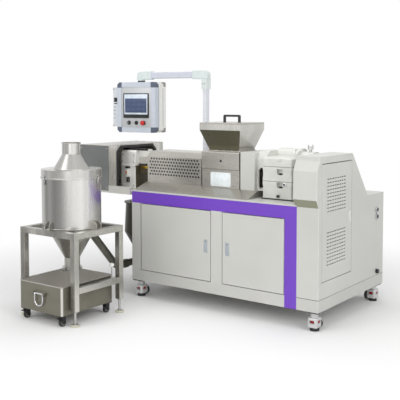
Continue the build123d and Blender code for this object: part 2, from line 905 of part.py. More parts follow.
def gear_slab(inset, z0, z1):
    """A slab of the gearbox, set back from the ledges by an inset."""
    with BuildSketch(Plane.XY.offset(z0)) as slab:
        with Locations(((x_gear + x_gear_end - inset) / 2, (y_gear + inset + y_gear_back) / 2)):
            Rectangle(gear_length - inset, gear_depth - inset)
        fillet(slab.vertices().group_by(Axis.Y)[0], gear_edge_radius)
    extrude(slab.sketch, amount=z1 - z0)


def gear_pocket(z_upper):
    """A cast pocket for a clamp bolt, open to the front."""
    with BuildSketch(Plane.XZ.offset(-y_gear + overrun)) as pocket:
        with Locations((x_pocket, z_upper - gear_pocket_height / 2)):
            RectangleRounded(gear_pocket_width, gear_pocket_height, gear_pocket_radius)
    extrude(pocket.sketch, amount=-(gear_pocket_depth + overrun), mode=Mode.SUBTRACT)


with BuildPart() as gearbox_lower:
    gear_slab(0, z_deck, z_deck + gear_foot_height)
    gear_slab(gear_ledge, z_deck + gear_foot_height, z_split - gear_flange_height)
    gear_slab(0, z_split - gear_flange_height, z_split)
    gear_pocket(z_split - gear_groove)
write(gearbox_lower.part, "gearbox_lower")

with BuildPart() as gearbox_upper:
    gear_slab(gear_ledge, z_split, z_split + gear_groove)
    gear_slab(0, z_split + gear_groove, z_split + gear_flange_height)
    gear_slab(gear_ledge, z_split + gear_flange_height, z_cap_line - gear_flange_height)
    gear_slab(0, z_cap_line - gear_flange_height, z_cap_line)
    gear_slab(gear_ledge, z_cap_line, z_cap_line + gear_groove)
    gear_slab(0, z_cap_line + gear_groove, z_gear_top)
    chamfer(gearbox_upper.faces().sort_by(Axis.Z)[-1].edges(), gear_cap_bevel)
    gear_pocket(z_cap_line - gear_flange_height / 2)
write(gearbox_upper.part, "gearbox_upper")

# Rounded transfer case behind the gearbox, stepped down towards the motor
z_case = z_deck + case_height
y_case = y_gear_back + case_depth / 2
case_length = gear_length + case_overrun
with BuildPart() as transfer_case:
    for length, height in ((case_tall_length, case_height), (case_length, case_height - case_step_drop)):
        with BuildSketch(Plane.YZ.offset(x_gear)) as case_section:
            with Locations((y_case, z_deck + height / 2)):
                Rectangle(case_depth, height)
            fillet(case_section.vertices().group_by(Axis.Y)[-1], case_crown_radius)
        extrude(amount=length)
write(transfer_case.part, "transfer_case")

# Fittings of the gearbox: breather on the case, eyebolt on the cap, sight glass and drain plug in front
breather_spot = (x_gear + case_length - breather_inset, y_case)
eyebolt_spot = (x_gear_end - eyebolt_inset, y_gear_back - eyebolt_from_back)
z_ring = z_gear_top + eyebolt_stem_height
z_breather = z_case - case_step_drop
z_breather_cap = z_breather + breather_neck_height
ring_radius = (eyebolt_ring - eyebolt_bar) / 2
with BuildPart() as gearbox_fittings:
    post_on([breather_spot], breather_neck_diameter / 2, z_breather, z_breather_cap)
    post_on([breather_spot], breather_cap_diameter / 2, z_breather_cap, z_breather_cap + breather_cap_height)
    fillet(gearbox_fittings.edges().sort_by(Axis.Z)[-1], breather_cap_radius)
    post_on([eyebolt_spot], eyebolt_bar, z_gear_top, z_ring)
    with Locations(Location((*eyebolt_spot, z_ring + ring_radius), (90, 0, 0))):
        Torus(ring_radius, eyebolt_bar / 2)
    with BuildSketch(Plane.XZ.offset(-y_gear)):
        with Locations((x_gear_end - sight_inset, z_split - sight_drop)):
            Circle(sight_diameter / 2)
    extrude(amount=sight_length)
    with BuildSketch(Plane.XZ.offset(-y_gear - gear_ledge)):
        with Locations((x_gear_end - drain_inset, z_deck + drain_rise)):
            RegularPolygon(drain_diameter / 2, 6)
    extrude(amount=drain_length)
write(gearbox_fittings.part, "gearbox_fittings")

# Pellet cutter bed, carried by the cabinet's left end
x_guard = x_left - cutter_reach
x_guard_end = x_guard + guard_length
y_guard = y_front - guard_front_out
y_guard_back = y_guard + guard_depth
z_bed_bottom = z_deck - bed_drop
z_bed = z_bed_bottom + bed_thickness
z_guard = z_bed + guard_height
with BuildPart() as cutter_bed:
    block(x_guard, x_left, y_guard, y_guard_back, z_bed_bottom, z_bed)
    for beam_y in (y_guard, y_guard_back - bed_beam_depth):
        block(x_guard_end, x_left, beam_y, beam_y + bed_beam_depth, z_bed, z_bed + bed_beam_height)
write(cutter_bed.part, "cutter_bed")

# Guard over the cutter drive: a folded hood, a dark front sheet and the end sheet with its port
z_guard_roof = z_guard - guard_sheet
with BuildPart() as guard_hood:
    block(x_guard, x_guard_end, y_guard, y_guard_back, z_guard_roof, z_guard)
    block(x_guard, x_guard + guard_sheet, y_guard + guard_sheet, y_guard_back, z_bed, z_guard_roof)
    block(x_guard, x_guard_end, y_guard_back - guard_sheet, y_guard_back, z_bed, z_guard_roof)
write(guard_hood.part, "guard_hood")

with BuildPart() as guard_front:
    block(x_guard, x_guard_end, y_guard, y_guard + guard_sheet, z_bed, z_guard_roof)
write(guard_front.part, "guard_front")

z_port_top = z_guard_roof - port_lintel
with BuildPart() as guard_port:
    block(x_guard_end - guard_sheet, x_guard_end, y_guard + guard_sheet, y_guard_back - guard_sheet,
          z_bed, z_guard_roof)
    with BuildSketch(Plane.YZ.offset(x_guard_end + overrun)) as port_shape:
        with Locations(((y_guard + y_guard_back) / 2, (z_bed + z_port_top) / 2)):
            Rectangle(guard_depth - port_margin - port_margin, z_port_top - z_bed)
        chamfer(port_shape.vertices().group_by(Axis.Y)[-1], port_chamfer)
    extrude(amount=-(guard_sheet + overrun + overrun), mode=Mode.SUBTRACT)
write(guard_port.part, "guard_port")

# Cutter chamber: a bevelled block with a ledge around its middle
y_chamber = y_line - chamber_half_depth
y_chamber_back = y_line + chamber_half_depth
z_chamber_ledge = z_bed + chamber_lower_height - chamber_ledge / 2
z_chamber = z_bed + chamber_lower_height + chamber_upper_height
with BuildPart() as cutter_chamber:
    block(x_chamber, x_chamber_end, y_chamber, y_chamber_back, z_bed, z_chamber)
    chamfer(cutter_chamber.edges().filter_by(Axis.X).group_by(Axis.Z)[-1], chamber_top_bevel)
    block(x_chamber, x_chamber_end, y_chamber - chamber_ledge, y_chamber_back + chamber_ledge,
          z_chamber_ledge, z_chamber_ledge + chamber_ledge)
write(cutter_chamber.part, "cutter_chamber")

# Die head between the chamber and the barrel, with the plate that clamps it
x_die_end = x_chamber_end + die_length
with BuildPart() as die_head:
    block(x_chamber_end, x_die_end, y_line - die_width / 2, y_line + die_width / 2,
          z_axis - die_height / 2, z_axis + die_height / 2)
    block(x_die_end, x_die_end + die_flange_thickness,
          y_line - die_flange_size / 2, y_line + die_flange_size / 2,
          z_axis - die_flange_size / 2, z_axis + die_flange_size / 2)
    with BuildSketch(Plane.YZ.offset(x_chamber_end)):
        with Locations((y_line, z_axis)):
            Circle(barrel_diameter / 2)
    extrude(amount=die_length + die_flange_thickness, mode=Mode.SUBTRACT)
write(die_head.part, "die_head")

# Safety switch on the chamber's front and the strap across its top
x_switch = (x_chamber + x_chamber_end) / 2
z_switch = z_chamber_ledge - switch_gap
z_switch_body = z_switch - switch_cap_height
z_prong = z_switch_body - switch_height
prong_offset = (switch_width - prong_width) / 2
with BuildPart() as hood_latch:
    block(x_switch - switch_cap_width / 2, x_switch + switch_cap_width / 2,
          y_chamber - switch_depth, y_chamber, z_switch_body, z_switch)
    block(x_switch - switch_width / 2, x_switch + switch_width / 2, y_chamber - switch_depth, y_chamber,
          z_prong, z_switch_body)
    fillet(hood_latch.edges().filter_by(Axis.Z).group_by(Axis.Y)[0], switch_edge_radius)
    for prong_x in (x_switch - prong_offset, x_switch + prong_offset):
        block(prong_x - prong_width / 2, prong_x + prong_width / 2, y_chamber - prong_depth, y_chamber,
              z_prong - prong_length, z_prong)
    block(x_chamber, x_chamber_end + strap_reach,
          y_chamber + strap_width, y_chamber + strap_width + strap_width, z_chamber, z_chamber + strap_height)
write(hood_latch.part, "hood_latch")

# Pellet funnel under the bed: neck, plate, straight chute and taper
x_funnel = x_chamber_end - funnel_inset
z_funnel_neck = z_bed_bottom - funnel_neck_height
z_funnel_plate = z_funnel_neck - funnel_plate_thickness
z_funnel_waist = z_funnel_plate - funnel_chute_height
z_duct_top = duct_height + duct_tee / 2
with BuildPart() as pellet_funnel:
    for inset, mode in ((0, Mode.ADD), (funnel_sheet, Mode.SUBTRACT)):
        with BuildSketch(Plane.XZ):
            with BuildLine():
                Polyline(
                    (0, z_duct_top),
                    (funnel_outlet_radius - inset, z_duct_top),
                    (funnel_waist_radius - inset, z_funnel_waist),
                    (funnel_top_radius - inset, z_funnel_plate - inset),
                    (0, z_funnel_plate - inset),
                    close=True,
                )
            make_face()
        revolve(axis=Axis.Z, mode=mode)
    post_on([(0, 0)], funnel_plate_radius, z_funnel_plate, z_funnel_neck)
    post_on([(0, 0)], funnel_neck_radius, z_funnel_neck, z_bed_bottom)
    post_on([(0, 0)], funnel_neck_radius - funnel_sheet, z_funnel_plate - funnel_sheet, z_bed_bottom,
            Mode.SUBTRACT)
write(pellet_funnel.part.moved(Location((x_funnel, y_line, 0))), "pellet_funnel")

# Places of the cyclone station
x_station_end = x_left + station_from_left
x_station = x_station_end - station_length
y_station_end = y_front - station_gap
y_station = y_station_end - station_depth
x_cyclone = (x_station + x_station_end) / 2
y_cyclone = (y_station + y_station_end) / 2

# Conveying duct: from the tee under the funnel along the floor, then up into the cyclone's side
x_inlet = x_cyclone - duct_inlet_offset
y_riser = y_front - duct_riser_gap
y_inlet = y_cyclone + sqrt((cyclone_radius - duct_diameter / 2) ** 2 - duct_inlet_offset ** 2)
z_inlet = station_top + duct_inlet_rise
with BuildPart() as conveying_duct:
    with BuildLine() as duct_path:
        FilletPolyline(
            (x_funnel, y_line, duct_height),
            (x_funnel, y_front, duct_height),
            (x_inlet, y_riser, z_inlet - duct_riser_length),
            (x_inlet, y_riser, z_inlet),
            (x_inlet, y_inlet, z_inlet),
            radius=duct_bend_radius,
        )
    with BuildSketch(Plane(origin=duct_path.line @ 0, z_dir=duct_path.line % 0)):
        Circle(duct_diameter / 2)
    sweep()
    block(x_funnel - duct_tee / 2, x_funnel + duct_tee / 2, y_line - duct_tee / 2, y_line + duct_tee / 2,
          duct_height - duct_tee / 2, z_duct_top)
    with BuildSketch(Plane.XZ.offset(-y_front - collar_back)):
        with Locations((x_funnel, duct_height)):
            Circle(duct_diameter / 2 + collar_proud)
    extrude(amount=-collar_width)
write(conveying_duct.part, "conveying_duct")

# Station of the cyclone: square tube legs, a top frame, side rails and levelling feet
leg_xs = (x_station + station_tube / 2, x_station_end - station_tube / 2)
leg_ys = (y_station + station_tube / 2, y_station_end - station_tube / 2)
leg_spots = [(x, y) for x in leg_xs for y in leg_ys]
z_frame = station_top - station_tube
z_rail = station_rail_height - station_tube / 2
with BuildPart() as station_legs:
    with Locations(*[(x, y, station_foot_height) for x, y in leg_spots]):
        Box(station_tube, station_tube, z_frame - station_foot_height, align=on_foot)
write(station_legs.part, "station_legs")

with BuildPart() as station_rails:
    block(x_station, x_station_end, y_station, y_station_end, z_frame, station_top)
    block(x_station + station_tube, x_station_end - station_tube, y_station + station_tube,
          y_station_end - station_tube, z_frame, station_top, Mode.SUBTRACT)
    for rail_x in (x_station, x_station_end - station_tube):
        block(rail_x, rail_x + station_tube, y_station + station_tube, y_station_end - station_tube,
              z_rail, z_rail + station_tube)
write(station_rails.part, "station_rails")

with BuildPart() as station_feet:
    post_on(leg_spots, station_foot_diameter / 2, 0, station_foot_disc)
    fillet(station_feet.edges().group_by(Axis.Z)[-1], station_foot_radius)
    post_on(leg_spots, station_stem_diameter / 2, station_foot_disc, station_foot_height)
write(station_feet.part, "station_feet")

# Cyclone: rolled shell on the top frame, hanging cone, clamped outlet and a lid with its cone and neck
z_lid_line = station_top + cyclone_shell_height
z_outlet = station_top - cyclone_cone_height
z_outlet_end = z_outlet - cyclone_outlet_length
cyclone_spot = [(x_cyclone, y_cyclone)]
with BuildPart() as cyclone_shell:
    post_on(cyclone_spot, cyclone_radius, station_top, z_lid_line)
    post_on(cyclone_spot, cyclone_radius - cyclone_sheet, station_top + cyclone_sheet, z_lid_line,
            Mode.SUBTRACT)
    post_on(cyclone_spot, cyclone_cone_radius - cyclone_sheet, station_top, station_top + cyclone_sheet,
            Mode.SUBTRACT)
    with BuildSketch(Plane.XZ.offset(-y_inlet)):
        with Locations((x_inlet, z_inlet)):
            Circle(duct_diameter / 2)
    extrude(amount=-cyclone_radius, mode=Mode.SUBTRACT)
write(cyclone_shell.part, "cyclone_shell")

with BuildPart() as cyclone_cone:
    for inset, mode in ((0, Mode.ADD), (cyclone_sheet, Mode.SUBTRACT)):
        with BuildSketch(Plane.XZ):
            with BuildLine():
                Polyline(
                    (0, z_outlet_end),
                    (cyclone_outlet_radius - inset, z_outlet_end),
                    (cyclone_outlet_radius - inset, z_outlet),
                    (cyclone_cone_radius - inset, station_top),
                    (0, station_top),
                    close=True,
                )
            make_face()
        revolve(axis=Axis.Z, mode=mode)
write(cyclone_cone.part.moved(Location((x_cyclone, y_cyclone, 0))), "cyclone_cone")

with BuildPart() as outlet_clamp:
    post_on(cyclone_spot, clamp_radius, z_outlet_end, z_outlet_end + clamp_height)
    block(x_cyclone - clamp_bolt_width / 2, x_cyclone + clamp_bolt_width / 2,
          y_cyclone - clamp_radius - clamp_bolt_length, y_cyclone, z_outlet_end, z_outlet_end + clamp_height)
    post_on(cyclone_spot, cyclone_outlet_radius, z_outlet_end, z_outlet_end + clamp_height, Mode.SUBTRACT)
write(outlet_clamp.part, "outlet_clamp")

z_lid_band = z_lid_line + cyclone_lid_height
z_dome = z_lid_band + cyclone_dome_height
z_neck = z_dome + cyclone_neck_height
lid_radius = cyclone_radius + cyclone_lid_proud
with BuildPart() as cyclone_lid:
    with BuildSketch(Plane.XZ):
        with BuildLine():
            Polyline(
                (cyclone_radius, z_lid_line),
                (lid_radius + cyclone_lip, z_lid_line),
                (lid_radius + cyclone_lip, z_lid_line + cyclone_lip_height),
                (lid_radius, z_lid_line + cyclone_lip_height),
                (lid_radius, z_lid_band),
                (cyclone_dome_foot_radius, z_lid_band),
                (cyclone_neck_radius, z_dome),
                (cyclone_neck_radius, z_neck),
                (cyclone_neck_radius - cyclone_sheet, z_neck),
                (cyclone_neck_radius - cyclone_sheet, z_dome - cyclone_sheet),
                (cyclone_dome_foot_radius - cyclone_sheet, z_lid_band - cyclone_sheet),
                (cyclone_radius - cyclone_sheet, z_lid_band - cyclone_sheet),
                (cyclone_radius - cyclone_sheet, z_lid_line),
                close=True,
            )
        make_face()
    revolve(axis=Axis.Z)
write(cyclone_lid.part.moved(Location((x_cyclone, y_cyclone, 0))), "cyclone_lid")

# Bevelled channel lugs that hold the shell to the top frame
lug_reach_x = station_length / 2 - lug_margin
lug_reach_y = station_depth / 2 - lug_margin
half_lug = lug_width / 2
half_channel = half_lug - lug_thickness
z_lug = station_top + lug_height
z_channel = station_top + lug_thickness
with BuildPart() as cyclone_lugs:
    block(x_cyclone - lug_reach_x, x_cyclone + lug_reach_x, y_cyclone - half_lug, y_cyclone + half_lug,
          station_top, z_lug)
    block(x_cyclone - half_lug, x_cyclone + half_lug, y_cyclone - lug_reach_y, y_cyclone + lug_reach_y,
          station_top, z_lug)
    chamfer(cyclone_lugs.faces().sort_by(Axis.Z)[-1].edges().group_by(SortBy.LENGTH)[0], lug_bevel)
    block(x_cyclone - lug_reach_x, x_cyclone + lug_reach_x, y_cyclone - half_channel, y_cyclone + half_channel,
          z_channel, z_lug, Mode.SUBTRACT)
    block(x_cyclone - half_channel, x_cyclone + half_channel, y_cyclone - lug_reach_y, y_cyclone + lug_reach_y,
          z_channel, z_lug, Mode.SUBTRACT)
    post_on(cyclone_spot, cyclone_radius, station_top, z_lug, Mode.SUBTRACT)
write(cyclone_lugs.part, "cyclone_lugs")

# Rolling bin: an open tub with a drop handle on lugs
x_bin = x_cyclone - bin_length / 2
x_bin_end = x_cyclone + bin_length / 2
y_bin = y_station - bin_front_reach
y_bin_end = y_bin + bin_depth
z_bin = bin_bottom + bin_height
z_bail = z_bin - bail_pivot_drop
y_bail = y_bin - bail_plate_thickness - bail_lug_depth / 2
x_bail = x_cyclone - bail_width / 2
x_bail_end = x_cyclone + bail_width / 2
half_plate = bail_plate_height / 2
half_eye = bail_lug_depth / 2
with BuildPart() as bin_tub:
    block(x_bin, x_bin_end, y_bin, y_bin_end, bin_bottom, z_bin)
    fillet(bin_tub.edges().filter_by(Axis.Z), bin_corner_radius)
    offset(amount=-bin_sheet, openings=bin_tub.faces().sort_by(Axis.Z)[-1])
    block(x_bail, x_bail_end, y_bin - bail_plate_thickness, y_bin, z_bail - half_plate, z_bail + half_plate)
    for lug_x in (x_bail, x_bail_end - bail_lug_width):
        block(lug_x, lug_x + bail_lug_width, y_bail - half_eye, y_bail + half_eye,
              z_bail - half_eye, z_bail + half_eye)
    with BuildSketch(Plane.YZ.offset(x_bail)):
        with Locations((y_bail, z_bail)):
            Circle(bail_bar / 2 + bail_clearance)
    extrude(amount=bail_width, mode=Mode.SUBTRACT)
write(bin_tub.part, "bin_tub")

x_bail_leg = x_bail + bail_lug_width + bail_bar
x_bail_leg_end = x_bail_end - bail_lug_width - bail_bar
with BuildPart() as bin_bail:
    with BuildLine() as bail_path:
        FilletPolyline(
            (x_bail, y_bail, z_bail),
            (x_bail_leg, y_bail, z_bail),
            (x_bail_leg, y_bail, z_bail - bail_drop),
            (x_bail_leg_end, y_bail, z_bail - bail_drop),
            (x_bail_leg_end, y_bail, z_bail),
            (x_bail_end, y_bail, z_bail),
            radius=[bail_bend_radius, bail_bow_radius, bail_bow_radius, bail_bend_radius],
        )
    with BuildSketch(Plane(origin=bail_path.line @ 0, z_dir=bail_path.line % 0)):
        Circle(bail_bar / 2)
    sweep()
write(bin_bail.part, "bin_bail")

# Bin casters: a plate and tapered fork under each corner and a wheel on each axle
wheel_radius = bin_wheel_diameter / 2
fork_half_gap = bin_wheel_width / 2 + fork_side_gap
wheel_xs = (x_bin + bin_wheel_inset, x_bin_end - bin_wheel_inset)
wheel_ys = (y_bin + bin_wheel_inset, y_bin_end - bin_wheel_inset)
wheel_spots = [(x, y) for x in wheel_xs for y in wheel_ys]
z_fork = bin_bottom - fork_plate_thickness
z_fork_eye = wheel_radius - axle_diameter
with BuildPart() as bin_forks:
    for spot_x, spot_y in wheel_spots:
        block(spot_x - fork_plate / 2, spot_x + fork_plate / 2,
              spot_y - fork_plate / 2, spot_y + fork_plate / 2, z_fork, bin_bottom)
        for cheek_x in (spot_x - fork_half_gap - fork_cheek, spot_x + fork_half_gap):
            with BuildSketch(Plane.YZ.offset(cheek_x)):
                with BuildLine():
                    Polyline(
                        (spot_y - fork_shoulder_width / 2, z_fork),
                        (spot_y - fork_eye_width / 2, z_fork_eye),
                        (spot_y + fork_eye_width / 2, z_fork_eye),
                        (spot_y + fork_shoulder_width / 2, z_fork),
                        close=True,
                    )
                make_face()
            extrude(amount=fork_cheek)
        with BuildSketch(Plane.YZ.offset(spot_x - fork_half_gap)):
            with Locations((spot_y, wheel_radius)):
                Circle(axle_diameter / 2)
        extrude(amount=fork_half_gap + fork_half_gap)
write(bin_forks.part, "bin_forks")

wheel_names = ("bin_wheel_left_front", "bin_wheel_left_back", "bin_wheel_right_front", "bin_wheel_right_back")
for wheel_name, (spot_x, spot_y) in zip(wheel_names, wheel_spots):
    with BuildPart() as bin_wheel:
        with BuildSketch(Plane.YZ.offset(spot_x - bin_wheel_width / 2)):
            with Locations((spot_y, wheel_radius)):
                Circle(wheel_radius)
        extrude(amount=bin_wheel_width)
        fillet(bin_wheel.edges().filter_by(GeomType.CIRCLE), bin_wheel_radius)
        with BuildSketch(Plane.YZ.offset(spot_x - bin_wheel_width / 2)):
            with Locations((spot_y, wheel_radius)):
                Circle(axle_diameter / 2 + axle_clearance)
        extrude(amount=bin_wheel_width, mode=Mode.SUBTRACT)
    write(bin_wheel.part, wheel_name)

# Post of the operator box, with a collar under the swing arm
x_post = x_left + post_from_left
y_post = rear(post_back)
z_arm = z_deck + post_height
z_swivel = z_arm - elbow_proud
z_collar_top = z_swivel - swivel_gap
collar_growth = post_collar_proud + post_collar_proud
with BuildPart() as box_post:
    with BuildSketch(Plane.XY.offset(z_deck)):
        with Locations((x_post, y_post)):
            Rectangle(post_flange, post_flange)
    extrude(amount=post_flange_thickness)
    with BuildSketch(Plane.XY.offset(z_deck + post_flange_thickness)):
        with Locations((x_post, y_post)):
            RectangleRounded(post_width, post_depth, post_edge_radius)
    extrude(amount=z_collar_top - z_deck - post_flange_thickness)
    with BuildSketch(Plane.XY.offset(z_collar_top - post_collar_height)):
        with Locations((x_post, y_post)):
            RectangleRounded(post_width + collar_growth, post_depth + collar_growth, post_edge_radius)
    extrude(amount=post_collar_height)
write(box_post.part, "box_post")

# Swing arm and box, drawn on a plane at the swivel whose X runs back to the post and whose Z leaves the face
x_hub = x_post - arm_length * arm_cos
y_hub = y_post - arm_length * arm_sin
along_arm = (arm_cos, arm_sin, 0)
out_of_face = (arm_sin, -arm_cos, 0)
face_plane = Plane(origin=(x_hub, y_hub, 0), x_dir=along_arm, z_dir=out_of_face)
box_top = z_arm - hub_drop
elbow_width = arm_width + elbow_proud + elbow_proud
elbow_height = arm_height + elbow_proud + elbow_proud
elbow_length = elbow_reach + elbow_width / 2
elbow_middle = (elbow_reach - elbow_width / 2) / 2
z_elbow = z_swivel + elbow_height / 2
with BuildPart() as swing_arm:
    with BuildSketch(face_plane.offset(-elbow_width / 2)) as elbows:
        with Locations((elbow_middle, z_elbow), (arm_length - elbow_middle, z_elbow)):
            Rectangle(elbow_length, elbow_height)
        top_corners = elbows.vertices().group_by(Axis.Y)[-1].sort_by(Axis.X)
        fillet([top_corners[0], top_corners[-1]], elbow_bend_radius)
    extrude(amount=elbow_width)
    fillet(swing_arm.edges(), elbow_edge_radius)
    with BuildSketch(Plane(origin=(x_hub, y_hub, z_elbow), x_dir=out_of_face, z_dir=along_arm)):
        RectangleRounded(arm_width, arm_height, arm_edge_radius)
    extrude(amount=arm_length)
    post_on([(x_hub, y_hub)], hub_diameter / 2, box_top + swivel_gap, z_swivel + elbow_proud)
write(swing_arm.part, "swing_arm")

# Control box with a recessed face and room for its corner pieces
z_box = box_top - box_height / 2
half_box = box_depth / 2
with BuildPart() as control_box:
    with BuildSketch(face_plane.offset(-half_box)) as box_outline:
        with Locations((0, z_box)):
            Rectangle(box_width, box_height)
        chamfer(box_outline.vertices(), box_bevel)
    extrude(amount=box_depth)
    with BuildSketch(face_plane.offset(half_box)):
        with Locations((0, z_box)):
            Rectangle(
                box_width - box_face_border - box_face_border,
                box_height - box_face_border - box_face_border,
            )
    extrude(amount=-box_face_recess, mode=Mode.SUBTRACT)
    with BuildSketch(face_plane.offset(half_box)):
        with Locations((0, z_box)):
            with GridLocations(box_width - corner_size, box_height - corner_size, 2, 2):
                Rectangle(corner_size, corner_size)
    extrude(amount=-corner_depth, mode=Mode.SUBTRACT)
write(control_box.part, "control_box")

with BuildPart() as box_corners:
    with BuildSketch(face_plane.offset(half_box - corner_depth)) as corner_shape:
        with Locations((0, z_box)):
            Rectangle(box_width, box_height)
        chamfer(corner_shape.vertices(), box_bevel)
        with Locations((0, z_box)):
            Rectangle(box_width - corner_size - corner_size, box_height, mode=Mode.SUBTRACT)
            Rectangle(box_width, box_height - corner_size - corner_size, mode=Mode.SUBTRACT)
    extrude(amount=corner_depth)
write(box_corners.part, "box_corners")

# Screen, controls and the wing panel of the box
control_face = face_plane.offset(half_box - box_face_recess)
z_screen = box_top - screen_drop - screen_height / 2
with BuildPart() as screen_bezel:
    with BuildSketch(control_face):
        with Locations((0, z_screen)):
            RectangleRounded(screen_width, screen_height, screen_radius)
    extrude(amount=screen_thickness)
    with BuildSketch(control_face.offset(screen_thickness)):
        with Locations((0, z_screen - display_drop)):
            Rectangle(display_width, display_height)
    extrude(amount=-display_recess, mode=Mode.SUBTRACT)
write(screen_bezel.part, "screen_bezel")

z_controls = box_top - control_drop
ring_face = control_face.offset(control_ring_height)
knob_face = ring_face.offset(knob_length)
with BuildPart() as panel_controls:
    with BuildSketch(control_face):
        with Locations((-control_spacing, z_controls), (0, z_controls), (control_spacing, z_controls)):
            Circle(control_ring_diameter / 2)
    extrude(amount=control_ring_height)
    with BuildSketch(ring_face):
        with Locations((-control_spacing, z_controls), (0, z_controls), (control_spacing, z_controls)):
            Circle(knob_diameter / 2)
    extrude(amount=knob_length)
    with BuildSketch(knob_face):
        with Locations((0, z_controls)):
            Rectangle(selector_bar_width, knob_diameter - selector_bar_width / 2)
    extrude(amount=selector_bar_width)
    with BuildSketch(knob_face):
        with Locations((control_spacing, z_controls)):
            Circle(button_diameter / 2)
    extrude(amount=button_height)
    fillet(panel_controls.faces().sort_by(Axis((0, 0, 0), out_of_face))[-1].edges(), button_radius)
write(panel_controls.part, "panel_controls")

wing_plane = Plane(origin=(x_hub, y_hub, box_top - wing_drop - wing_height), x_dir=along_arm, z_dir=(0, 0, 1))
with BuildPart() as wing_panel:
    with BuildSketch(wing_plane):
        with Locations((-(box_width + wing_width) / 2, -wing_rear - wing_depth / 2)):
            RectangleRounded(wing_width, wing_depth, wing_edge_radius)
    extrude(amount=wing_height)
write(wing_panel.part, "wing_panel")
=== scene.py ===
import json
import math
import bmesh
import bpy
from mathutils import Matrix, Vector


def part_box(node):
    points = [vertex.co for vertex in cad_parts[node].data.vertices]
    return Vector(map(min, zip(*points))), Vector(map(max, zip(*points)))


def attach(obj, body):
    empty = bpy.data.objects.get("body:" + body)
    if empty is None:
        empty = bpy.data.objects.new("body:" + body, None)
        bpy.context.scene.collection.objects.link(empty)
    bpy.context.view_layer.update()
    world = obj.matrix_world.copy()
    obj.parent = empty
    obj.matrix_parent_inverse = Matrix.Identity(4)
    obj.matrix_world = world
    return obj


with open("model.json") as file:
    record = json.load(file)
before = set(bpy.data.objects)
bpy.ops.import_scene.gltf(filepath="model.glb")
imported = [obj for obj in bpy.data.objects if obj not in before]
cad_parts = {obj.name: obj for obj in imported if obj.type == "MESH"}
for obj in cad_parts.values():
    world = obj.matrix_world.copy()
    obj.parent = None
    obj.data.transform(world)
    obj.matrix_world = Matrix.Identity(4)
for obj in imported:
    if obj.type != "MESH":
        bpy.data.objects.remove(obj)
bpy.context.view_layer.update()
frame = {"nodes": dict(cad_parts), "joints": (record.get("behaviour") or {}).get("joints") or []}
nodes = frame["nodes"]

# Lengths are metres in the part's frame, or millimetres where a function says so
X, Y, Z = Vector((1, 0, 0)), Vector((0, 1, 0)), Vector((0, 0, 1))
mm = 0.001


def rgb(red, green, blue):
    """A linear colour from screen values of 0 to 255."""
    def linear(value):
        share = value / 255
        return share / 12.92 if share <= 0.04045 else ((share + 0.055) / 1.055) ** 2.4
    return (linear(red), linear(green), linear(blue), 1)


def shade(base, factor):
    """The same colour, lighter or darker."""
    return tuple(min(1, value * factor) for value in base[:3]) + (1,)


def new_object(name, data):
    """An object in the scene that shows some data."""
    made = bpy.data.objects.new(name, data)
    bpy.context.scene.collection.objects.link(made)
    return made


WHITE = (1, 1, 1, 1)
FAINT_GRAIN = ((0.3, shade(WHITE, 0.93)), (0.7, WHITE))


class Nodes:
    """The nodes of a shader, each input fed by a field or a constant."""

    def __init__(self, tree):
        self.tree = tree

    def plug(self, socket, value):
        """Feed a socket with a field or a constant."""
        if isinstance(value, bpy.types.NodeSocket):
            self.tree.links.new(value, socket)
        else:
            socket.default_value = value

    def node(self, kind, inputs=(), **settings):
        """A new node with its settings and inputs."""
        made = self.tree.nodes.new("ShaderNode" + kind)
        for key, value in settings.items():
            setattr(made, key, value)
        for socket, value in dict(inputs).items():
            self.plug(made.inputs[socket], value)
        return made

    def combine(self, operation, first, second):
        """Two fields joined by one operation."""
        return self.node("Math", {0: first, 1: second}, operation=operation).outputs[0]

    def remap(self, field, low, high, to_low=0, to_high=1, curve="LINEAR"):
        """A field mapped from one range of values to another."""
        inputs = {"Value": field, "From Min": low, "From Max": high, "To Min": to_low, "To Max": to_high}
        return self.node("MapRange", inputs, interpolation_type=curve).outputs["Result"]

    def seen_rays(self):
        """One for the rays that show the surround: those seen directly, in metal or through glass."""
        path = self.node("LightPath").outputs
        mirrored = self.combine("MAXIMUM", path["Is Camera Ray"], path["Is Glossy Ray"])
        return self.combine("MAXIMUM", mirrored, path["Is Transmission Ray"])


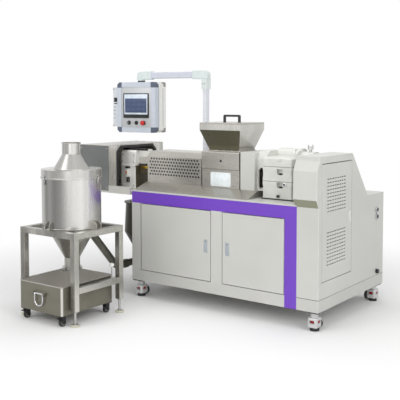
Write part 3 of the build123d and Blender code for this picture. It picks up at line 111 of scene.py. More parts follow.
class Finish(Nodes):
    """A procedural material: one Principled shader fed by noise in the part's frame."""

    def __init__(self, name):
        self.material = bpy.data.materials.new(name)
        self.material.use_nodes = True
        super().__init__(self.material.node_tree)
        self.shader = self.tree.nodes["Principled BSDF"]
        self.place = self.node("TexCoord").outputs["Object"]

    def set(self, **sockets):
        """Fields or constants on the shader's own sockets."""
        for key, value in sockets.items():
            self.plug(self.shader.inputs[key.replace("_", " ")], value)
        return self

    def vector(self, operation, source, *constants):
        """Vector math on a field, with constants on the other sockets."""
        node = self.node("VectorMath", enumerate((source, *constants)), operation=operation)
        return node.outputs["Value" if operation in ("DOT_PRODUCT", "LENGTH") else "Vector"]

    def noise(self, scale, detail=4, stretch=(1, 1, 1)):
        """A noise field in metres, stretched along the axes."""
        mapping = self.node("Mapping", {"Vector": self.place, "Scale": stretch})
        inputs = {"Vector": mapping.outputs["Vector"], "Scale": scale, "Detail": detail}
        return self.node("TexNoise", inputs).outputs["Fac"]

    def ramp(self, field, *stops):
        """Colours along a field, as (position, colour) stops."""
        node = self.node("ValToRGB", {"Fac": field})
        elements = node.color_ramp.elements
        while len(elements) < len(stops):
            elements.new(0.5)
        for element, (position, value) in zip(elements, stops):
            element.position = position
            element.color = value
        return node.outputs["Color"]

    def spread(self, field, low, high):
        """The middle of a noise field mapped to a range of values."""
        return self.remap(field, 0.3, 0.7, low, high)

    def ahead(self, direction, edge, soft=0.5 * mm):
        """One beyond a plane that lies a distance along a direction, and zero before it."""
        return self.remap(self.vector("DOT_PRODUCT", self.place, direction), edge - soft, edge + soft)

    def step(self, axis, edge):
        """One above a height or place along an axis, and zero below it."""
        return self.ahead([float(name == axis) for name in "XYZ"], edge)

    def between(self, axis, low, high):
        """One between two places along an axis, and zero outside them."""
        return self.combine("SUBTRACT", self.step(axis, low), self.step(axis, high))

    def dots(self, centre, pitch, rise, radius, soft=0.3 * mm):
        """One on the round dots of a grid on an upright face, and zero around them."""
        offset = self.vector("SUBTRACT", self.place, centre)
        nearest = self.vector("WRAP", offset, (pitch / 2, 0, rise / 2), (-pitch / 2, 0, -rise / 2))
        return self.remap(self.vector("LENGTH", nearest), radius + soft, radius - soft)

    def facing(self, direction, low, high):
        """Zero to one as the surface turns towards a direction in the part's frame."""
        normal = self.node("TexCoord").outputs["Normal"]
        return self.remap(self.vector("DOT_PRODUCT", normal, direction), low, high, curve="SMOOTHSTEP")

    def both(self, *masks):
        """Masks multiplied together."""
        total = masks[0]
        for mask in masks[1:]:
            total = self.combine("MULTIPLY", total, mask)
        return total

    def around(self, centre):
        """Zero to one once around an upright axis, from minus to plus 180 degrees."""
        offset = self.vector("SUBTRACT", self.place, centre)
        split = self.node("SeparateXYZ", {"Vector": offset}).outputs
        angle = self.combine("ARCTAN2", split["Y"], split["X"])
        return self.remap(angle, -math.pi, math.pi)

    def times(self, first, second):
        """Two colours multiplied."""
        inputs = {"Factor": 1, "A": first, "B": second}
        return self.node("Mix", inputs, data_type="RGBA", blend_type="MULTIPLY").outputs["Result"]

    def mix(self, share, first, second):
        """Two colours mixed by a field."""
        inputs = {"Factor": share, "A": first, "B": second}
        return self.node("Mix", inputs, data_type="RGBA").outputs["Result"]

    def paint(self, source):
        """A field as the base colour, kept for later tints."""
        self.colour = source
        self.set(Base_Color=source)

    def tint(self, mask, value):
        """Another colour where a mask is one."""
        self.paint(self.mix(mask, self.colour, value))

    def bump(self, field, distance):
        """A field as fine relief."""
        inputs = {"Strength": 1, "Distance": distance, "Height": field}
        self.set(Normal=self.node("Bump", inputs).outputs["Normal"])

    def on(self, *names):
        """Lay this finish on nodes of the part."""
        for name in names:
            nodes[name].data.materials.clear()
            nodes[name].data.materials.append(self.material)
        return self

    def coat(self, base, cloud, tones, rough, sheen, grain, depth):
        """Cloudy colour, uneven sheen and fine relief, each from a noise of its own."""
        dark, light = (shade(base, tone) for tone in tones)
        self.paint(self.ramp(self.noise(*cloud), (0.3, dark), (0.7, light)))
        self.set(Roughness=self.spread(self.noise(*sheen), *rough))
        self.bump(self.noise(*grain), depth)
        return self


def painted(name, base, rough=0.42):
    """Powder coat: faint cloudiness, orange peel and a soft sheen."""
    sheen = (rough - 0.05, rough + 0.06)
    finish = Finish(name).coat(base, (2.2, 3), (0.95, 1.03), sheen, (9, 3), (700, 2), 0.00006)
    return finish.set(Specular_IOR_Level=0.4)


def casting(name, base, rough=0.5):
    """Painted casting: a coarser skin under the paint."""
    sheen = (rough - 0.07, rough + 0.07)
    return Finish(name).coat(base, (14, 5), (0.93, 1.04), sheen, (40, 3), (260, 4), 0.00018)


def brushed(name, base, along="X", rough=0.3, cloud_share=0.16, cloud=5, stretch=0.4, metal=0.85):
    """Brushed stainless sheet: fine lines along one axis over slow tonal drift."""
    finish = Finish(name)
    axis = "XYZ".index(along)
    lines = finish.noise(14, 6, tuple(1.2 if place == axis else 60 for place in range(3)))
    drift = finish.noise(cloud, 3, tuple(stretch if place == axis else 1 for place in range(3)))
    dark, light = shade(base, 1 - cloud_share), shade(base, 1 + cloud_share / 4)
    tone = finish.ramp(drift, (0.34, dark), (0.66, light))
    finish.paint(finish.times(tone, finish.ramp(lines, *FAINT_GRAIN)))
    finish.set(Roughness=finish.spread(lines, rough - 0.05, rough + 0.06))
    finish.bump(lines, 0.00002)
    return finish.set(Metallic=metal)


def polished(name, base, rough=0.16):
    """Turned or plated steel."""
    sheen = (rough - 0.06, rough + 0.08)
    finish = Finish(name).coat(base, (60, 3), (0.9, 1), sheen, (180, 4), (600, 2), 0.00002)
    return finish.set(Metallic=1.0)


def plastic(name, base, rough=0.45, grain=0.00008, scale=500):
    """Moulded plastic or rubber with a fine grain."""
    sheen = (rough - 0.06, rough + 0.08)
    return Finish(name).coat(base, (30, 3), (0.88, 1.08), sheen, (70, 3), (scale, 3), grain)


def two_tone(name, mask_of, inside, outside, rough=0.4, metal_inside=0.0, metal_outside=0.0):
    """Two colours on one piece, parted by a mask that is one where the first colour lies."""
    finish = Finish(name)
    mask = mask_of(finish)
    grain = finish.ramp(finish.noise(40, 3), *FAINT_GRAIN)
    finish.paint(finish.times(finish.mix(mask, outside, inside), grain))
    if metal_inside != metal_outside:
        finish.set(Metallic=finish.remap(mask, 0, 1, metal_outside, metal_inside))
    finish.set(Roughness=finish.spread(finish.noise(90, 3), rough - 0.06, rough + 0.08))
    finish.bump(finish.noise(500, 3), 0.00005)
    return finish


WARM_GREY = rgb(198, 198, 193)
CAST_GREY = rgb(211, 212, 206)
STEEL = rgb(188, 185, 178)
PALE_STEEL = rgb(206, 204, 197)
DARK = rgb(34, 35, 37)

painted("warm_grey_paint", WARM_GREY).on(
    "left_end_panel", "back_panel", "deck_plate", "front_stiles", "left_door", "right_door",
    "service_panel", "guard_pillar")
painted("plinth_paint", shade(WARM_GREY, 0.96)).on("base_plinth")
housing_paint = painted("housing_paint", WARM_GREY).on("motor_housing")
painted("purple_paint", rgb(112, 66, 188), 0.36).on("purple_trim")
painted("wing_paint", rgb(216, 219, 224), 0.36).on("wing_panel")
cast_paint = casting("cast_paint", CAST_GREY).on("gearbox_lower", "gearbox_upper", "transfer_case")
hot_iron_and_shade = casting("hot_iron_and_shade", rgb(58, 54, 48), 0.55).on("barrel")
brushed_x = brushed("brushed_along", STEEL, "X").on(
    "barrel_base", "feed_housing", "feed_wrap", "hopper_lid")
brushed("brushed_across", STEEL, "Y").on("guard_hood", "cyclone_lugs")
brushed("brushed_upright", shade(STEEL, 0.86), "Z", 0.26, 0.35).on("outlet_clamp", "cyclone_cone")
cover_steel = brushed("cover_steel", STEEL, "X").on("barrel_cover")
station_steel = brushed("station_steel", shade(STEEL, 0.72), "Z", 0.24, 0.5, 7, 0.3).on(
    "station_legs", "station_rails")
cyclone_steel = brushed("cyclone_steel", rgb(238, 237, 233), "Z", 0.24, 0.1, 9, 0.02).on(
    "cyclone_shell")
lid_steel = brushed("lid_steel", rgb(220, 219, 215), "Z", 0.24, 0.1, 9, 0.02).on("cyclone_lid")
hopper_steel = brushed("hopper_steel", rgb(206, 204, 198), "Z", 0.26, 0.2).on("hopper")
brushed("satin_steel", rgb(212, 210, 203), "Y", 0.36, 0.2, metal=0.45).on("cutter_bed")
brushed("port_steel", rgb(226, 224, 217), "Z", 0.3, 0.45, 14, 0.03, 0.6).on("guard_port")
bin_steel = brushed("bin_steel", rgb(128, 125, 112), "X", 0.34, 0.2, metal=0.6).on("bin_tub")
brushed("funnel_steel", rgb(56, 54, 46), "Z", 0.34, 0.3).on("pellet_funnel")
brushed("duct_steel", rgb(122, 120, 110), "Y", 0.3, 0.4).on("conveying_duct")
chamber_steel = brushed("chamber_steel", rgb(246, 245, 240), "Z", 0.36, 0.12, metal=0.1).on(
    "cutter_chamber")
brushed("dark_sheet", rgb(116, 119, 117), "X", 0.42, 0.16, metal=0.6).on("guard_front")
face_grey = brushed("face_grey", rgb(198, 200, 202), "Z", 0.45, 0.06, metal=0.2)
chrome = polished("bright_steel", rgb(214, 214, 216)).on("screw_shafts", "hinge_pins", "bin_bail")
zinc = polished("zinc_plate", rgb(184, 184, 182), 0.3)
brass = polished("brass_band", rgb(190, 158, 70), 0.34)
rubber = plastic("black_rubber", rgb(38, 38, 39), 0.62, 0.00015, 320).on(
    "caster_pads", "bin_wheel_left_front", "bin_wheel_left_back", "bin_wheel_right_front",
    "bin_wheel_right_back")
black = plastic("black_plastic", DARK, 0.42).on("lid_handle", "panel_controls", "bin_forks")
white_plastic = plastic("white_plastic", rgb(224, 224, 220), 0.4)
plate_white = plastic("plate_white", rgb(232, 239, 241), 0.3)
slate = plastic("slate_plastic", rgb(84, 93, 110), 0.5).on("box_corners")
latch_grey = plastic("latch_grey", rgb(170, 178, 184), 0.4)
taupe = plastic("taupe_plastic", rgb(150, 146, 142), 0.5)
red = plastic("red_plastic", rgb(196, 30, 36), 0.36)
orange = plastic("orange_plastic", rgb(226, 120, 30), 0.4)
gloss_black = plastic("gloss_black", rgb(22, 26, 28), 0.2, 0.00001).on("screen_bezel")
screen_white = plastic("screen_white", rgb(214, 224, 236), 0.35, 0.00001)
screen_blue = plastic("screen_blue", rgb(60, 75, 108), 0.4, 0.00001)
screen_tile = plastic("screen_tile", rgb(66, 81, 114), 0.4, 0.00001)
lamp_grey = plastic("lamp_grey", rgb(150, 154, 160), 0.25, 0.00001)

# Painted shade: the slopes of the hopper that look down at the line are darker than those that look at the
# room
hopper_steel.tint(hopper_steel.facing((0, -0.4, -0.92), 0.5, 0.68), rgb(122, 119, 100))

# Painted shade: the underside of the motor housing's nose is darkened to a greener grey
housing_paint.tint(housing_paint.facing((0, -0.5, -0.87), 0.6, 0.8), rgb(138, 138, 118))

# Painted highlight: the station's tubes are brighter on the faces towards the machine's other end
station_steel.tint(station_steel.facing(X, 0.5, 0.9), PALE_STEEL)

# Painted shade: the cut walls and edges of the cover's holes are darkened
cover_low, cover_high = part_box("barrel_cover")
cover_middle = (cover_low.x + cover_high.x) / 2
hole_pitch, hole_rise, hole_edge = 25.2 * mm, 23.4 * mm, 7.4 * mm
first_row = cover_low.z + 63 * mm
for row, holes in ((0, 19), (1, 18)):
    half_run = holes * hole_pitch / 2
    hole = Vector((cover_middle + row * hole_pitch / 2, 0, first_row + row * hole_rise))
    edges = cover_steel.both(
        cover_steel.dots(hole, hole_pitch, 2 * hole_rise, hole_edge),
        cover_steel.between("X", cover_middle - half_run, cover_middle + half_run),
        cover_steel.between("Y", cover_low.y - 1 * mm, cover_low.y + 4 * mm),
        cover_steel.between("Z", first_row - hole_rise / 2, first_row + 5.5 * hole_rise))
    cover_steel.tint(edges, rgb(10, 10, 11))

# Painted reflections: upright bands of light and dark around the cyclone, each an angle and a tone, at half
# contrast on its lid
rail_low, rail_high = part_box("station_rails")
cyclone_x, cyclone_y = (rail_low.x + rail_high.x) / 2, (rail_low.y + rail_high.y) / 2
reflection_bands = (
    (-180, 0.55), (-150, 0.8), (-125, 0.45), (-111, 0.55), (-100, 0.26), (-90, 0.36), (-78, 0.25),
    (-66, 0.32), (-54, 0.55), (-40, 0.88), (-25, 1), (-16, 0.84), (-10, 1), (0, 0.88), (12, 0.62),
    (24, 0.56), (40, 0.75), (60, 1), (80, 0.5), (100, 0.38), (120, 0.8), (140, 1), (165, 0.7), (180, 0.55))
for finish, contrast in ((cyclone_steel, 1.0), (lid_steel, 0.5)):
    stops = [((angle + 180) / 360, shade(WHITE, tone ** contrast)) for angle, tone in reflection_bands]
    tones = finish.ramp(finish.around((cyclone_x, cyclone_y, 0)), *stops)
    finish.paint(finish.times(finish.colour, tones))

# Painted reflection: the lid's slope, which looks up at the room, is darker than its upright faces
lid_low, lid_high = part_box("cyclone_lid")
slope_foot, neck_foot = lid_low.z + 62 * mm, lid_high.z - 79 * mm
lid_steel.tint(lid_steel.between("Z", slope_foot, neck_foot), rgb(174, 173, 169))

# Painted light: the inside of the bin is lighter than its outside
tub_low, tub_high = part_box("bin_tub")
tub_front = tub_low.y + 22 * mm
tub_skin = 1.2 * mm
inside = bin_steel.both(bin_steel.between("X", tub_low.x + tub_skin, tub_high.x - tub_skin),
                        bin_steel.between("Y", tub_front + tub_skin, tub_high.y - tub_skin),
                        bin_steel.step("Z", tub_low.z + tub_skin))
bin_steel.tint(inside, rgb(206, 203, 198))

# Places that part the finishes of two colours
joints = {joint["name"]: Vector(joint["pos_m"]) for joint in frame["joints"] if "pos_m" in joint}
swivel, post = joints["box_swivel"], joints["arm_swing"]
along_arm = Vector((post.x - swivel.x, post.y - swivel.y, 0)).normalized()
out_of_face = along_arm.cross(Z)
elbow_reach = 110 * mm * along_arm.x
post_low, post_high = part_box("box_post")
collar_z = post_high.z - 80 * mm
caster_plate_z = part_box("levelling_casters")[1].z - 8 * mm
socket_low, socket_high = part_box("side_sockets")
socket_middle = (socket_low.z + socket_high.z) / 2
foot_plate_z = 14 * mm
chamber_low, chamber_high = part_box("cutter_chamber")
switch_top = chamber_low.z + 156 * mm
switch_foot = switch_top - 66 * mm
lantern_low, lantern_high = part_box("lantern")
lantern_middle = (lantern_low.y + lantern_high.y) / 2
die_low, die_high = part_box("die_head")
axis_z = (die_low.z + die_high.z) / 2
gear_low, gear_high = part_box("gearbox_lower")
fitting_z = gear_high.z - 60 * mm
box_joint = swivel.dot(out_of_face) + 29 * mm

two_tone("arm_paint", lambda f: f.between("X", swivel.x + elbow_reach, post.x - elbow_reach),
         rgb(206, 209, 220), rgb(214, 224, 222), 0.38).on("swing_arm")
two_tone("post_paint", lambda f: f.step("Z", collar_z),
         rgb(220, 229, 227), rgb(224, 227, 234), 0.38).on("box_post")
two_tone("caster_coat", lambda f: f.step("Z", caster_plate_z),
         DARK, rgb(206, 207, 206), 0.4, 0.0, 0.35).on("levelling_casters")
two_tone("socket_coat", lambda f: f.step("Z", socket_middle),
         rgb(210, 210, 212), DARK, 0.28, 1.0, 0.0).on("side_sockets")
two_tone("foot_coat", lambda f: f.step("Z", foot_plate_z),
         rgb(190, 189, 184), rgb(196, 195, 176), 0.4, 1.0, 0.0).on("station_feet")
two_tone("switch_coat", lambda f: f.between("Z", switch_foot, switch_top),
         rgb(222, 222, 216), DARK, 0.42).on("hood_latch")
# Painted shade: the lantern's inner wall behind its window is dark, the rest is cast paint
two_tone("lantern_paint_and_shade", lambda f: f.both(f.facing(-Y, 0.85, 0.95), f.step("Y", lantern_middle)),
         rgb(44, 44, 36), CAST_GREY, 0.5).on("lantern")
# Painted shade: the die head is dark below the screws' axis, pale steel above
two_tone("die_steel_and_shade", lambda f: f.step("Z", axis_z),
         PALE_STEEL, rgb(80, 72, 56), 0.4, 0.4, 0.2).on("die_head")
two_tone("fitting_coat", lambda f: f.step("Z", fitting_z),
         rgb(206, 207, 204), DARK, 0.3, 0.7, 0.0).on("gearbox_fittings")
two_tone("box_coat", lambda f: f.ahead(out_of_face, box_joint),
         rgb(200, 207, 217), rgb(238, 238, 234), 0.36).on("control_box")

# Painted shade: the chamber's side towards the die is dark below the screws' axis
below_axis = chamber_steel.between("Z", chamber_low.z - 1 * mm, axis_z)
chamber_steel.tint(chamber_steel.both(chamber_steel.facing(X, 0.7, 0.9), below_axis), rgb(88, 81, 64))


def soften(name):
    """Round a node's sharp edges a little, so that they catch the light."""
    weld = nodes[name].modifiers.new("weld", "WELD")
    weld.merge_threshold = 0.00001
    bevel = nodes[name].modifiers.new("bevel", "BEVEL")
    bevel.width = 1.5 * mm
    bevel.segments = 2
    bevel.limit_method = "ANGLE"
    bevel.angle_limit = math.radians(40)
    bevel.harden_normals = True


for name in ("base_plinth", "motor_housing", "front_stiles", "purple_trim", "deck_plate", "left_door",
             "right_door", "service_panel", "guard_pillar", "gearbox_lower", "gearbox_upper", "feed_housing",
             "barrel_base", "station_legs", "station_rails", "cutter_bed", "die_head", "cutter_chamber"):
    soften(name)


def beside(origin, x=0, y=0, z=0):
    """A point given in millimetres from an origin."""
    return (origin[0] + x * mm, origin[1] + y * mm, origin[2] + z * mm)


def rows(first, last, count):
    """Evenly spaced values from first to last."""
    return [first + (last - first) * step / (count - 1) for step in range(count)]


def ends(low, high, inset):
    """Two places that lie a distance in millimetres inside two limits."""
    return (low + inset * mm, high - inset * mm)


def grid(xs, ys, zs):
    """All the points of some places along the three axes."""
    return [(x, y, z) for x in xs for y in ys for z in zs]


def spots_from(origin, xs, ys, zs):
    """The points of a grid given in millimetres from an origin."""
    return [beside(origin, *spot) for spot in grid(xs, ys, zs)]


def turns(count, first=0):
    """Evenly spaced angles once around, from a first one in degrees."""
    return [math.radians(first + 360 / count * step) for step in range(count)]


def quarter(centre, radius, first, across, up, steps=6):
    """Points of a quarter circle from a first angle in degrees, in the plane of two directions."""
    angles = [math.radians(first + 90 * step / steps) for step in range(steps + 1)]
    return [Vector(centre) + (across * math.cos(t) + up * math.sin(t)) * radius for t in angles]


class Shape:
    """A mesh under construction, in the part's frame or in a frame given at the end."""

    def __init__(self):
        self.mesh = bmesh.new()

    def block(self, low, high, bevel, segments=2):
        """A block between two corners, with its edges rounded by a width in millimetres."""
        low, high = Vector(low), Vector(high)
        size = Matrix.Diagonal((*(high - low), 1))
        made = bmesh.ops.create_cube(self.mesh, size=1, matrix=Matrix.Translation((low + high) / 2) @ size)
        edges = list({edge for vert in made["verts"] for edge in vert.link_edges})
        bmesh.ops.bevel(self.mesh, geom=edges, offset=bevel * mm, segments=segments,
                        affect="EDGES", profile=0.5)
        return self

    def bar(self, origin, low, high, bevel, segments=2):
        """A block whose corners and rounding are given in millimetres from an origin."""
        return self.block(beside(origin, *low), beside(origin, *high), bevel, segments)

    def ring(self, centre, across, other, radius, sides):
        """New points on a circle in the plane of two directions."""
        return [self.mesh.verts.new(centre + (across * math.cos(t) + other * math.sin(t)) * radius)
                for t in turns(sides)]

    def lathe(self, base, axis, profile, sides=32):
        """A closed turned shape: (radius, height) points in millimetres spun about an axis."""
        ring_shaped = profile[0][0] > 0 and profile[-1][0] > 0
        if profile[0][0] > 0 and not ring_shaped:
            profile = [(0, profile[0][1]), *profile]
        axis = Vector(axis).normalized()
        across = axis.orthogonal().normalized()
        other = axis.cross(across)
        rings = []
        for radius, height in profile:
            centre = Vector(base) + axis * (height * mm)
            if radius == 0:
                rings.append([self.mesh.verts.new(centre)] * sides)
            else:
                rings.append(self.ring(centre, across, other, radius * mm, sides))
        if ring_shaped:
            rings.append(rings[0])
        for lower, upper in zip(rings, rings[1:]):
            self.wall(lower, upper)
        return self

    def tube(self, points, radius, sides=10, closed=False):
        """A round bead along a polyline, mitred at its corners."""
        points = [Vector(point) for point in points]
        runs = [(after - point).normalized() for point, after in zip(points, points[1:] + points[:1])]
        if not closed:
            runs[-1] = Vector()
        rings = []
        for step, point in enumerate(points):
            along = (runs[step - 1] + runs[step]).normalized()
            across = along.orthogonal() if not rings else across - along * across.dot(along)
            across.normalize()
            rings.append(self.ring(point, across, along.cross(across), radius, sides))
        for lower, upper in zip(rings, rings[1:]):
            self.wall(lower, upper)
        if closed:
            self.wall(rings[-1], rings[0])
        else:
            self.mesh.faces.new(rings[0])
            self.mesh.faces.new(rings[-1])
        return self

    def wall(self, lower, upper):
        """Faces between two loops of as many points; one loop may be a point repeated."""
        for step in range(len(lower)):
            following = (step + 1) % len(lower)
            corners = [lower[step], lower[following], upper[following], upper[step]]
            self.mesh.faces.new(list(dict.fromkeys(corners)))

    def prism(self, outline, depth):
        """A flat outline pushed through a depth."""
        lower = [self.mesh.verts.new(Vector(point)) for point in outline]
        upper = [self.mesh.verts.new(Vector(point) + Vector(depth)) for point in outline]
        self.mesh.faces.new(lower)
        self.mesh.faces.new(upper)
        self.wall(lower, upper)
        return self

    def hex_bolts(self, spots, axis, size):
        """Hexagon heads on washers; size is the thread in millimetres."""
        washer, height, rim, head = 0.2 * size, 0.65 * size, 1.1 * size, 0.92 * size
        plate = [(0, 0), (rim, 0), (rim, 0.7 * washer), (1.02 * size, washer), (0, washer)]
        for spot in spots:
            self.lathe(spot, axis, plate, 24)
            top = Vector(spot) + axis * (washer * mm)
            self.lathe(top, axis, [(head, 0), (head, 0.8 * height), (0.8 * size, height), (0, height)], 6)
        return self

    def cap_screws(self, spots, axis, size):
        """Socket head cap screws; size is the thread in millimetres."""
        head, socket, floor = 0.8 * size, 0.42 * size, 0.4 * size
        for spot in spots:
            self.lathe(spot, axis, [(head, 0), (head, 0.8 * size), (0.88 * head, size), (socket, size),
                                    (socket, floor), (0, floor)], 20)
        return self

    def pan_screws(self, spots, axis, size):
        """Low round heads; size is the thread in millimetres."""
        crown = 0.6 * size
        for spot in spots:
            self.lathe(spot, axis, [(size, 0), (0.96 * size, 0.25 * size), (0.7 * size, 0.5 * size),
                                    (0.3 * size, crown), (0, crown)], 20)
        return self

    def piece(self, name, finish=zinc, slot="bright_steel", body="machine", matrix=None):
        """Close the mesh, smooth its round faces and let it ride on a body."""
        if matrix is not None:
            bmesh.ops.transform(self.mesh, matrix=matrix, verts=self.mesh.verts)
        bmesh.ops.recalc_face_normals(self.mesh, faces=self.mesh.faces)
        for face in self.mesh.faces:
            face.smooth = True
        for edge in self.mesh.edges:
            edge.smooth = edge.is_manifold and edge.calc_face_angle() < math.radians(35)
        data = bpy.data.meshes.new(name)
        self.mesh.to_mesh(data)
        self.mesh.free()
        data.materials.append(finish.material)
        made = new_object(name, data)
        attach(made, body)


# Camera at the photograph's viewing point, placed from the plinth's near corner
plinth_low, plinth_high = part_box("base_plinth")
camera_data = bpy.data.cameras.new("camera")
camera_data.sensor_width = 36
camera_data.lens = 67.73
camera_data.shift_y = -0.1468
camera = new_object("camera", camera_data)
camera.location = Vector((plinth_high.x, plinth_low.y, 0)) + Vector((2.1687, -4.167, 1.4619))
camera.rotation_euler = (math.radians(90 - 3.142), 0, math.radians(36.544))
bpy.context.scene.camera = camera


def make_world(fill):
    """A white surround that also shows in metal, and a softer fill for everything else."""
    world = bpy.data.worlds.new("surround")
    world.use_nodes = True
    surround = Nodes(world.node_tree)
    background = surround.tree.nodes["Background"].inputs
    surround.plug(background["Color"], WHITE)
    surround.plug(background["Strength"], surround.remap(surround.seen_rays(), 0, 1, fill, 1))
    bpy.context.scene.world = world


def make_lamp(name, place, target, size, power):
    """A soft square lamp that looks at a point."""
    data = bpy.data.lights.new(name, "AREA")
    data.shape = "SQUARE"
    data.size = size
    data.energy = power
    lamp = new_object(name, data)
    lamp.location = place
    lamp.rotation_euler = (Vector(target) - Vector(place)).to_track_quat("-Z", "Y").to_euler()


def make_floor(half_size, near, far):
    """A pale floor that takes the shadow near the machine and runs out to white."""
    mesh = bpy.data.meshes.new("floor")
    corners = [(x * half_size, y * half_size, 0) for x, y in ((-1, -1), (1, -1), (1, 1), (-1, 1))]
    mesh.from_pydata(corners, [], [(0, 1, 2, 3)])
    floor = new_object("floor", mesh)
    finish = Finish("floor")
    finish.set(Base_Color=(0.86, 0.86, 0.86, 1), Roughness=0.9, Specular_IOR_Level=0.1)
    glow = finish.node("Emission", {"Color": WHITE})
    run_out = finish.remap(finish.vector("LENGTH", finish.place), near, far, curve="SMOOTHSTEP")
    share = finish.both(run_out, finish.seen_rays())
    inputs = {"Fac": share, 1: finish.shader.outputs["BSDF"], 2: glow.outputs["Emission"]}
    blend = finish.node("MixShader", inputs)
    finish.plug(finish.tree.nodes["Material Output"].inputs["Surface"], blend.outputs["Shader"])
    mesh.materials.append(finish.material)


make_world(0.5)
make_floor(40, 1.2, 3.2)
make_lamp("key", (-1.5, -5.0, 4.2), (0, 0, 0.7), 3.0, 88)
make_lamp("front", (2.6, -5.2, 3.0), (-0.3, 0, 0.8), 2.5, 54)
make_lamp("side", (5.0, -1.5, 3.2), (0.6, 0, 0.7), 3.0, 94)
make_lamp("top", (0, 0.5, 5.2), (0, 0, 0.8), 4.0, 90)
make_lamp("cutter", (1.2, -3.8, 1.6), (-0.6, -0.1, 0.8), 1.5, 10)


# Cabinet: latches, sockets, a dark strip of painted shadow at the plinth's edge, castors and panel screws
def door_latch(name, body, spot):
    """A paddle latch in the door's recess: bezel, paddle and key barrel."""
    half_width, half_height, rim = 13, 43, 3
    shape = Shape()
    for side in (-1, 1):
        shape.bar(spot, (side * half_width - rim, -2, -half_height - rim),
                  (side * half_width + rim, 1, half_height + rim), 1.2)
        shape.bar(spot, (-half_width, -2, side * half_height - rim),
                  (half_width, 1, side * half_height + rim), 1.2)
    shape.bar(spot, (-9, -1.5, -39), (9, 0, 20), 1.2)
    shape.piece(name, latch_grey, "slate_plastic", body)
    key = ((7.5, 0), (7.5, 1.6), (6.5, 2.2), (2, 2.2), (2, 1), (0, 1))
    Shape().lathe(beside(spot, z=30), -Y, key, 24).piece(name + "_key", lamp_grey, "bright_steel", body)


left_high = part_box("left_door")[1]
right_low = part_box("right_door")[0]
door_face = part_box("front_stiles")[0].y
latch_inset, latch_z = 40 * mm, left_high.z - 247 * mm
door_latch("left_latch", "left_door", (left_high.x - latch_inset, door_face, latch_z))
door_latch("right_latch", "right_door", (right_low.x + latch_inset, door_face, latch_z))

panel_low, panel_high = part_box("service_panel")
panel_grip = (panel_high.x, panel_high.y - 35 * mm, panel_low.z + 371 * mm)
panel_latch = Shape()
panel_latch.bar(panel_grip, (0, -14, -38), (5, 14, 38), 2)
panel_latch.bar(panel_grip, (5, -9, -32), (9, 9, 12), 2.5)
panel_latch.lathe(beside(panel_grip, 5, 0, 24), X, ((8, 0), (8, 3), (6.5, 4), (0, 4)))
panel_latch.piece("panel_latch", white_plastic, "painted", "service_panel")

socket_top = (plinth_high.x, plinth_high.y - 124 * mm, socket_high.z)
socket_inserts, socket_pins = Shape(), Shape()
for socket_drop in (21, 71):
    insert = ((13.6, 0), (13.6, 2), (12.4, 2.6), (0, 2.6))
    socket_inserts.lathe(beside(socket_top, 12, 0, -socket_drop), X, insert)
    for angle in turns(4, 45):
        pin_spot = beside(socket_top, 14, 5 * math.cos(angle), 5 * math.sin(angle) - socket_drop)
        socket_pins.lathe(pin_spot, X, ((1.1, 0), (1.1, 3), (0.7, 3.5), (0, 3.5)), 10)
socket_inserts.piece("socket_inserts", black, "black_plastic")
socket_pins.piece("socket_pins", chrome)

front_corner = (plinth_high.x, plinth_low.y, plinth_high.z)
back_corner = (plinth_high.x, plinth_high.y, plinth_high.z)
trim_corner = (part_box("purple_trim")[1].x, plinth_low.y, plinth_high.z)
# A dark strip of painted shadow along the plinth's top edge at the column and the end
plinth_shadow_line = Shape()
plinth_shadow_line.block(beside(trim_corner, 0, -0.5, -1.4), beside(front_corner, 0.5, 0.5, 1.4), 0.2)
plinth_shadow_line.block(beside(front_corner, -0.5, -0.5, -0.84), beside(back_corner, 0.5, 0, 0.84), 0.2)
plinth_shadow_line.piece("plinth_shadow_line", rubber, "rubber")

caster_xs, caster_ys = ends(plinth_low.x, plinth_high.x, 52), ends(plinth_low.y, plinth_high.y, 52)
dial = ((28.6, 0), (29.8, 1), (29.8, 3.4), (28.6, 4.4), (0, 4.4))
caster_hub = ((15, 0), (15, 1.5), (12, 2.5), (8, 2.5), (7, 4), (0, 4))
dials, plate_bolts, hubs = Shape(), Shape(), Shape()
for caster in grid(caster_xs, caster_ys, [0]):
    for dial_z in (53, 58, 63):
        dials.lathe(beside(caster, z=dial_z), Z, dial, 40)
    plate_bolts.hex_bolts(spots_from(caster, (-36, 36), (-36, 36), [119]), -Z, 7)
    if caster[1] == caster_ys[0]:
        hubs.lathe(beside(caster, 0, 62, 36), Y, caster_hub)
    else:
        inward = X if caster[0] == caster_xs[0] else -X
        hubs.lathe(beside(caster, 57 * inward.x, 0, 36), inward, caster_hub)
dials.piece("caster_dials", red, "rubber")
plate_bolts.piece("caster_bolts")
hubs.piece("caster_hubs")

back_low, back_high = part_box("back_panel")
end_low, end_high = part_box("left_end_panel")
back_xs, back_zs = rows(*ends(back_low.x, back_high.x, 40), 7), ends(back_low.z, back_high.z, 30)
end_ys, end_zs = rows(*ends(end_low.y, end_high.y, 40), 5), (end_low.z + 30 * mm, end_high.z - 90 * mm)
panel_screws = Shape().pan_screws(grid(back_xs, [back_high.y], back_zs), Y, 6)
panel_screws.pan_screws(grid([end_low.x], end_ys, end_zs), -X, 6).piece("panel_screws")

# Extruder line: cover and wrap screws, blank plate, probe port, a dark sheet of painted shade behind the
# cover's holes and a dark strip of painted shadow under the wrap
feed_low, feed_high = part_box("feed_housing")
wrap_low, wrap_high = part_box("feed_wrap")
cover_xs = rows(*ends(cover_low.x, cover_high.x, 30), 6)
wrap_xs = ends(wrap_low.x, wrap_high.x, 16)
wrap_zs = (wrap_low.z + 14 * mm, wrap_high.z - 30 * mm)
line_screws = Shape()
for cover_y, wrap_y, outward in ((cover_low.y, wrap_low.y, -Y), (cover_high.y, wrap_high.y, Y)):
    line_screws.pan_screws(grid(cover_xs, [cover_y], [cover_low.z + 16 * mm]), outward, 5)
    line_screws.pan_screws(grid(wrap_xs, [wrap_y], wrap_zs), outward, 5)
line_screws.piece("line_screws")

